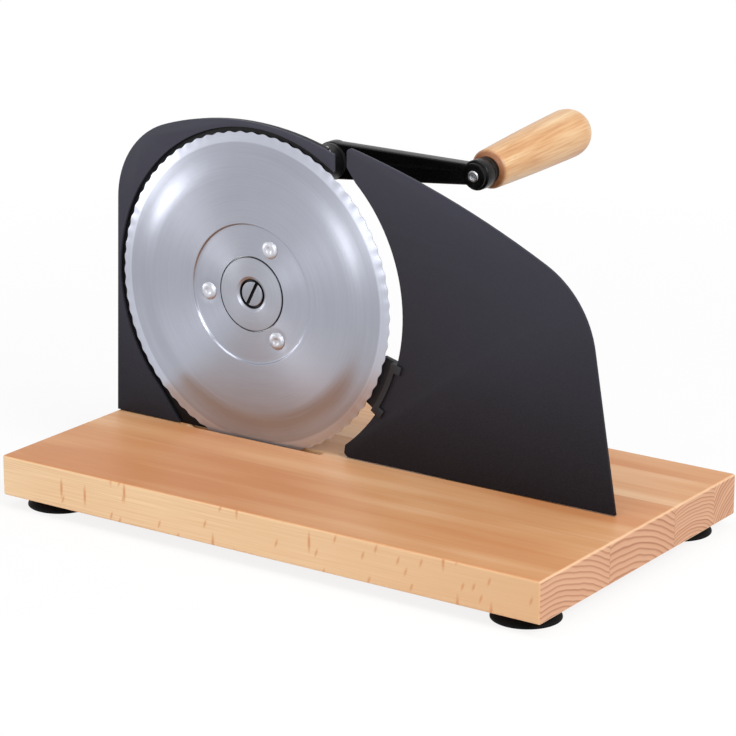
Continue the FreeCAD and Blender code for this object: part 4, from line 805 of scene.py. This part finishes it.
def stageMaterial():
    # Seen by the camera, in steel or through glass it is nearly white, with a soft shadow
    finish = Finish("pale_floor")
    grain = finish.noise(finish.at["Object"], 30.0)
    dull, bright = [(level, level, level, 1) for level in stage["pale"]]
    pale = finish.mix(finish.span(grain, 0.3, 0.7), dull, bright)
    finish.set(Base_Color=pale, Roughness=stage["rough"])
    ray = finish.add("LightPath").outputs
    seen = finish.math("MAXIMUM", ray["Is Camera Ray"], ray["Is Glossy Ray"])
    seen = finish.math("MAXIMUM", seen, ray["Is Transmission Ray"])
    glow = finish.add("Emission", {"Color": (1, 1, 1, 1), "Strength": 1.0}).outputs[0]
    away = finish.vector("LENGTH", finish.at["Object"])
    fade = finish.span(away, stage["near"], stage["clear"], 1 - stage["shadow"], 1.0)
    share = finish.math("MULTIPLY", seen, fade)
    blend = finish.add("MixShader", {0: share, 1: finish.shader.outputs[0], 2: glow}).outputs[0]
    finish.tree.links.new(blend, finish.tree.nodes["Material Output"].inputs["Surface"])
    return finish.material


floorMesh = bpy.data.meshes.new("floor")
half = stage["floor"]
square = [(-half, -half, 0), (half, -half, 0), (half, half, 0), (-half, half, 0)]
floorMesh.from_pydata(square, [], [(0, 1, 2, 3)])
floorMesh.materials.append(stageMaterial())
floor = bpy.data.objects.new("floor", floorMesh)
scene.collection.objects.link(floor)

# The world lights softly, and is plain white where the camera or a mirror sees it
studio = {"fill": 0.42, "seen": 1.0, "aim": (0, -0.03, 0.1)}
world = bpy.data.worlds.new("studio")
world.use_nodes = True
scene.world = world
tree = world.node_tree
background = tree.nodes["Background"]
background.inputs["Color"].default_value = (1, 1, 1, 1)
background.inputs["Strength"].default_value = studio["fill"]
white = tree.nodes.new("ShaderNodeBackground")
white.inputs["Color"].default_value = (1, 1, 1, 1)
white.inputs["Strength"].default_value = studio["seen"]
path = tree.nodes.new("ShaderNodeLightPath")
seen = tree.nodes.new("ShaderNodeMath")
seen.operation = "MAXIMUM"
mixer = tree.nodes.new("ShaderNodeMixShader")
tree.links.new(path.outputs["Is Camera Ray"], seen.inputs[0])
tree.links.new(path.outputs["Is Glossy Ray"], seen.inputs[1])
tree.links.new(seen.outputs[0], mixer.inputs[0])
tree.links.new(background.outputs[0], mixer.inputs[1])
tree.links.new(white.outputs[0], mixer.inputs[2])
tree.links.new(mixer.outputs[0], tree.nodes["World Output"].inputs["Surface"])

softboxes = {
    "front": {"from": (-0.05, -1.9, 0.30), "size": (0.6, 0.5), "watts": 6},
    "left": {"from": (-1.55, -0.85, 0.11), "size": (0.7, 0.2), "watts": 4},
    "right": {"from": (1.5, -0.4, 1.35), "size": (1.0, 1.0), "watts": 26},
    "above": {"from": (0.0, -0.4, 1.9), "size": (1.2, 1.0), "watts": 11},
}
for name, box in softboxes.items():
    light = bpy.data.lights.new("softbox_" + name, "AREA")
    light.shape = "RECTANGLE"
    light.size, light.size_y = box["size"]
    light.energy = box["watts"]
    lamp = bpy.data.objects.new("softbox_" + name, light)
    aim = Vector(studio["aim"]) - Vector(box["from"])
    lamp.rotation_euler = aim.to_track_quat("-Z", "Y").to_euler()
    lamp.location = box["from"]
    scene.collection.objects.link(lamp)
print("stage set")
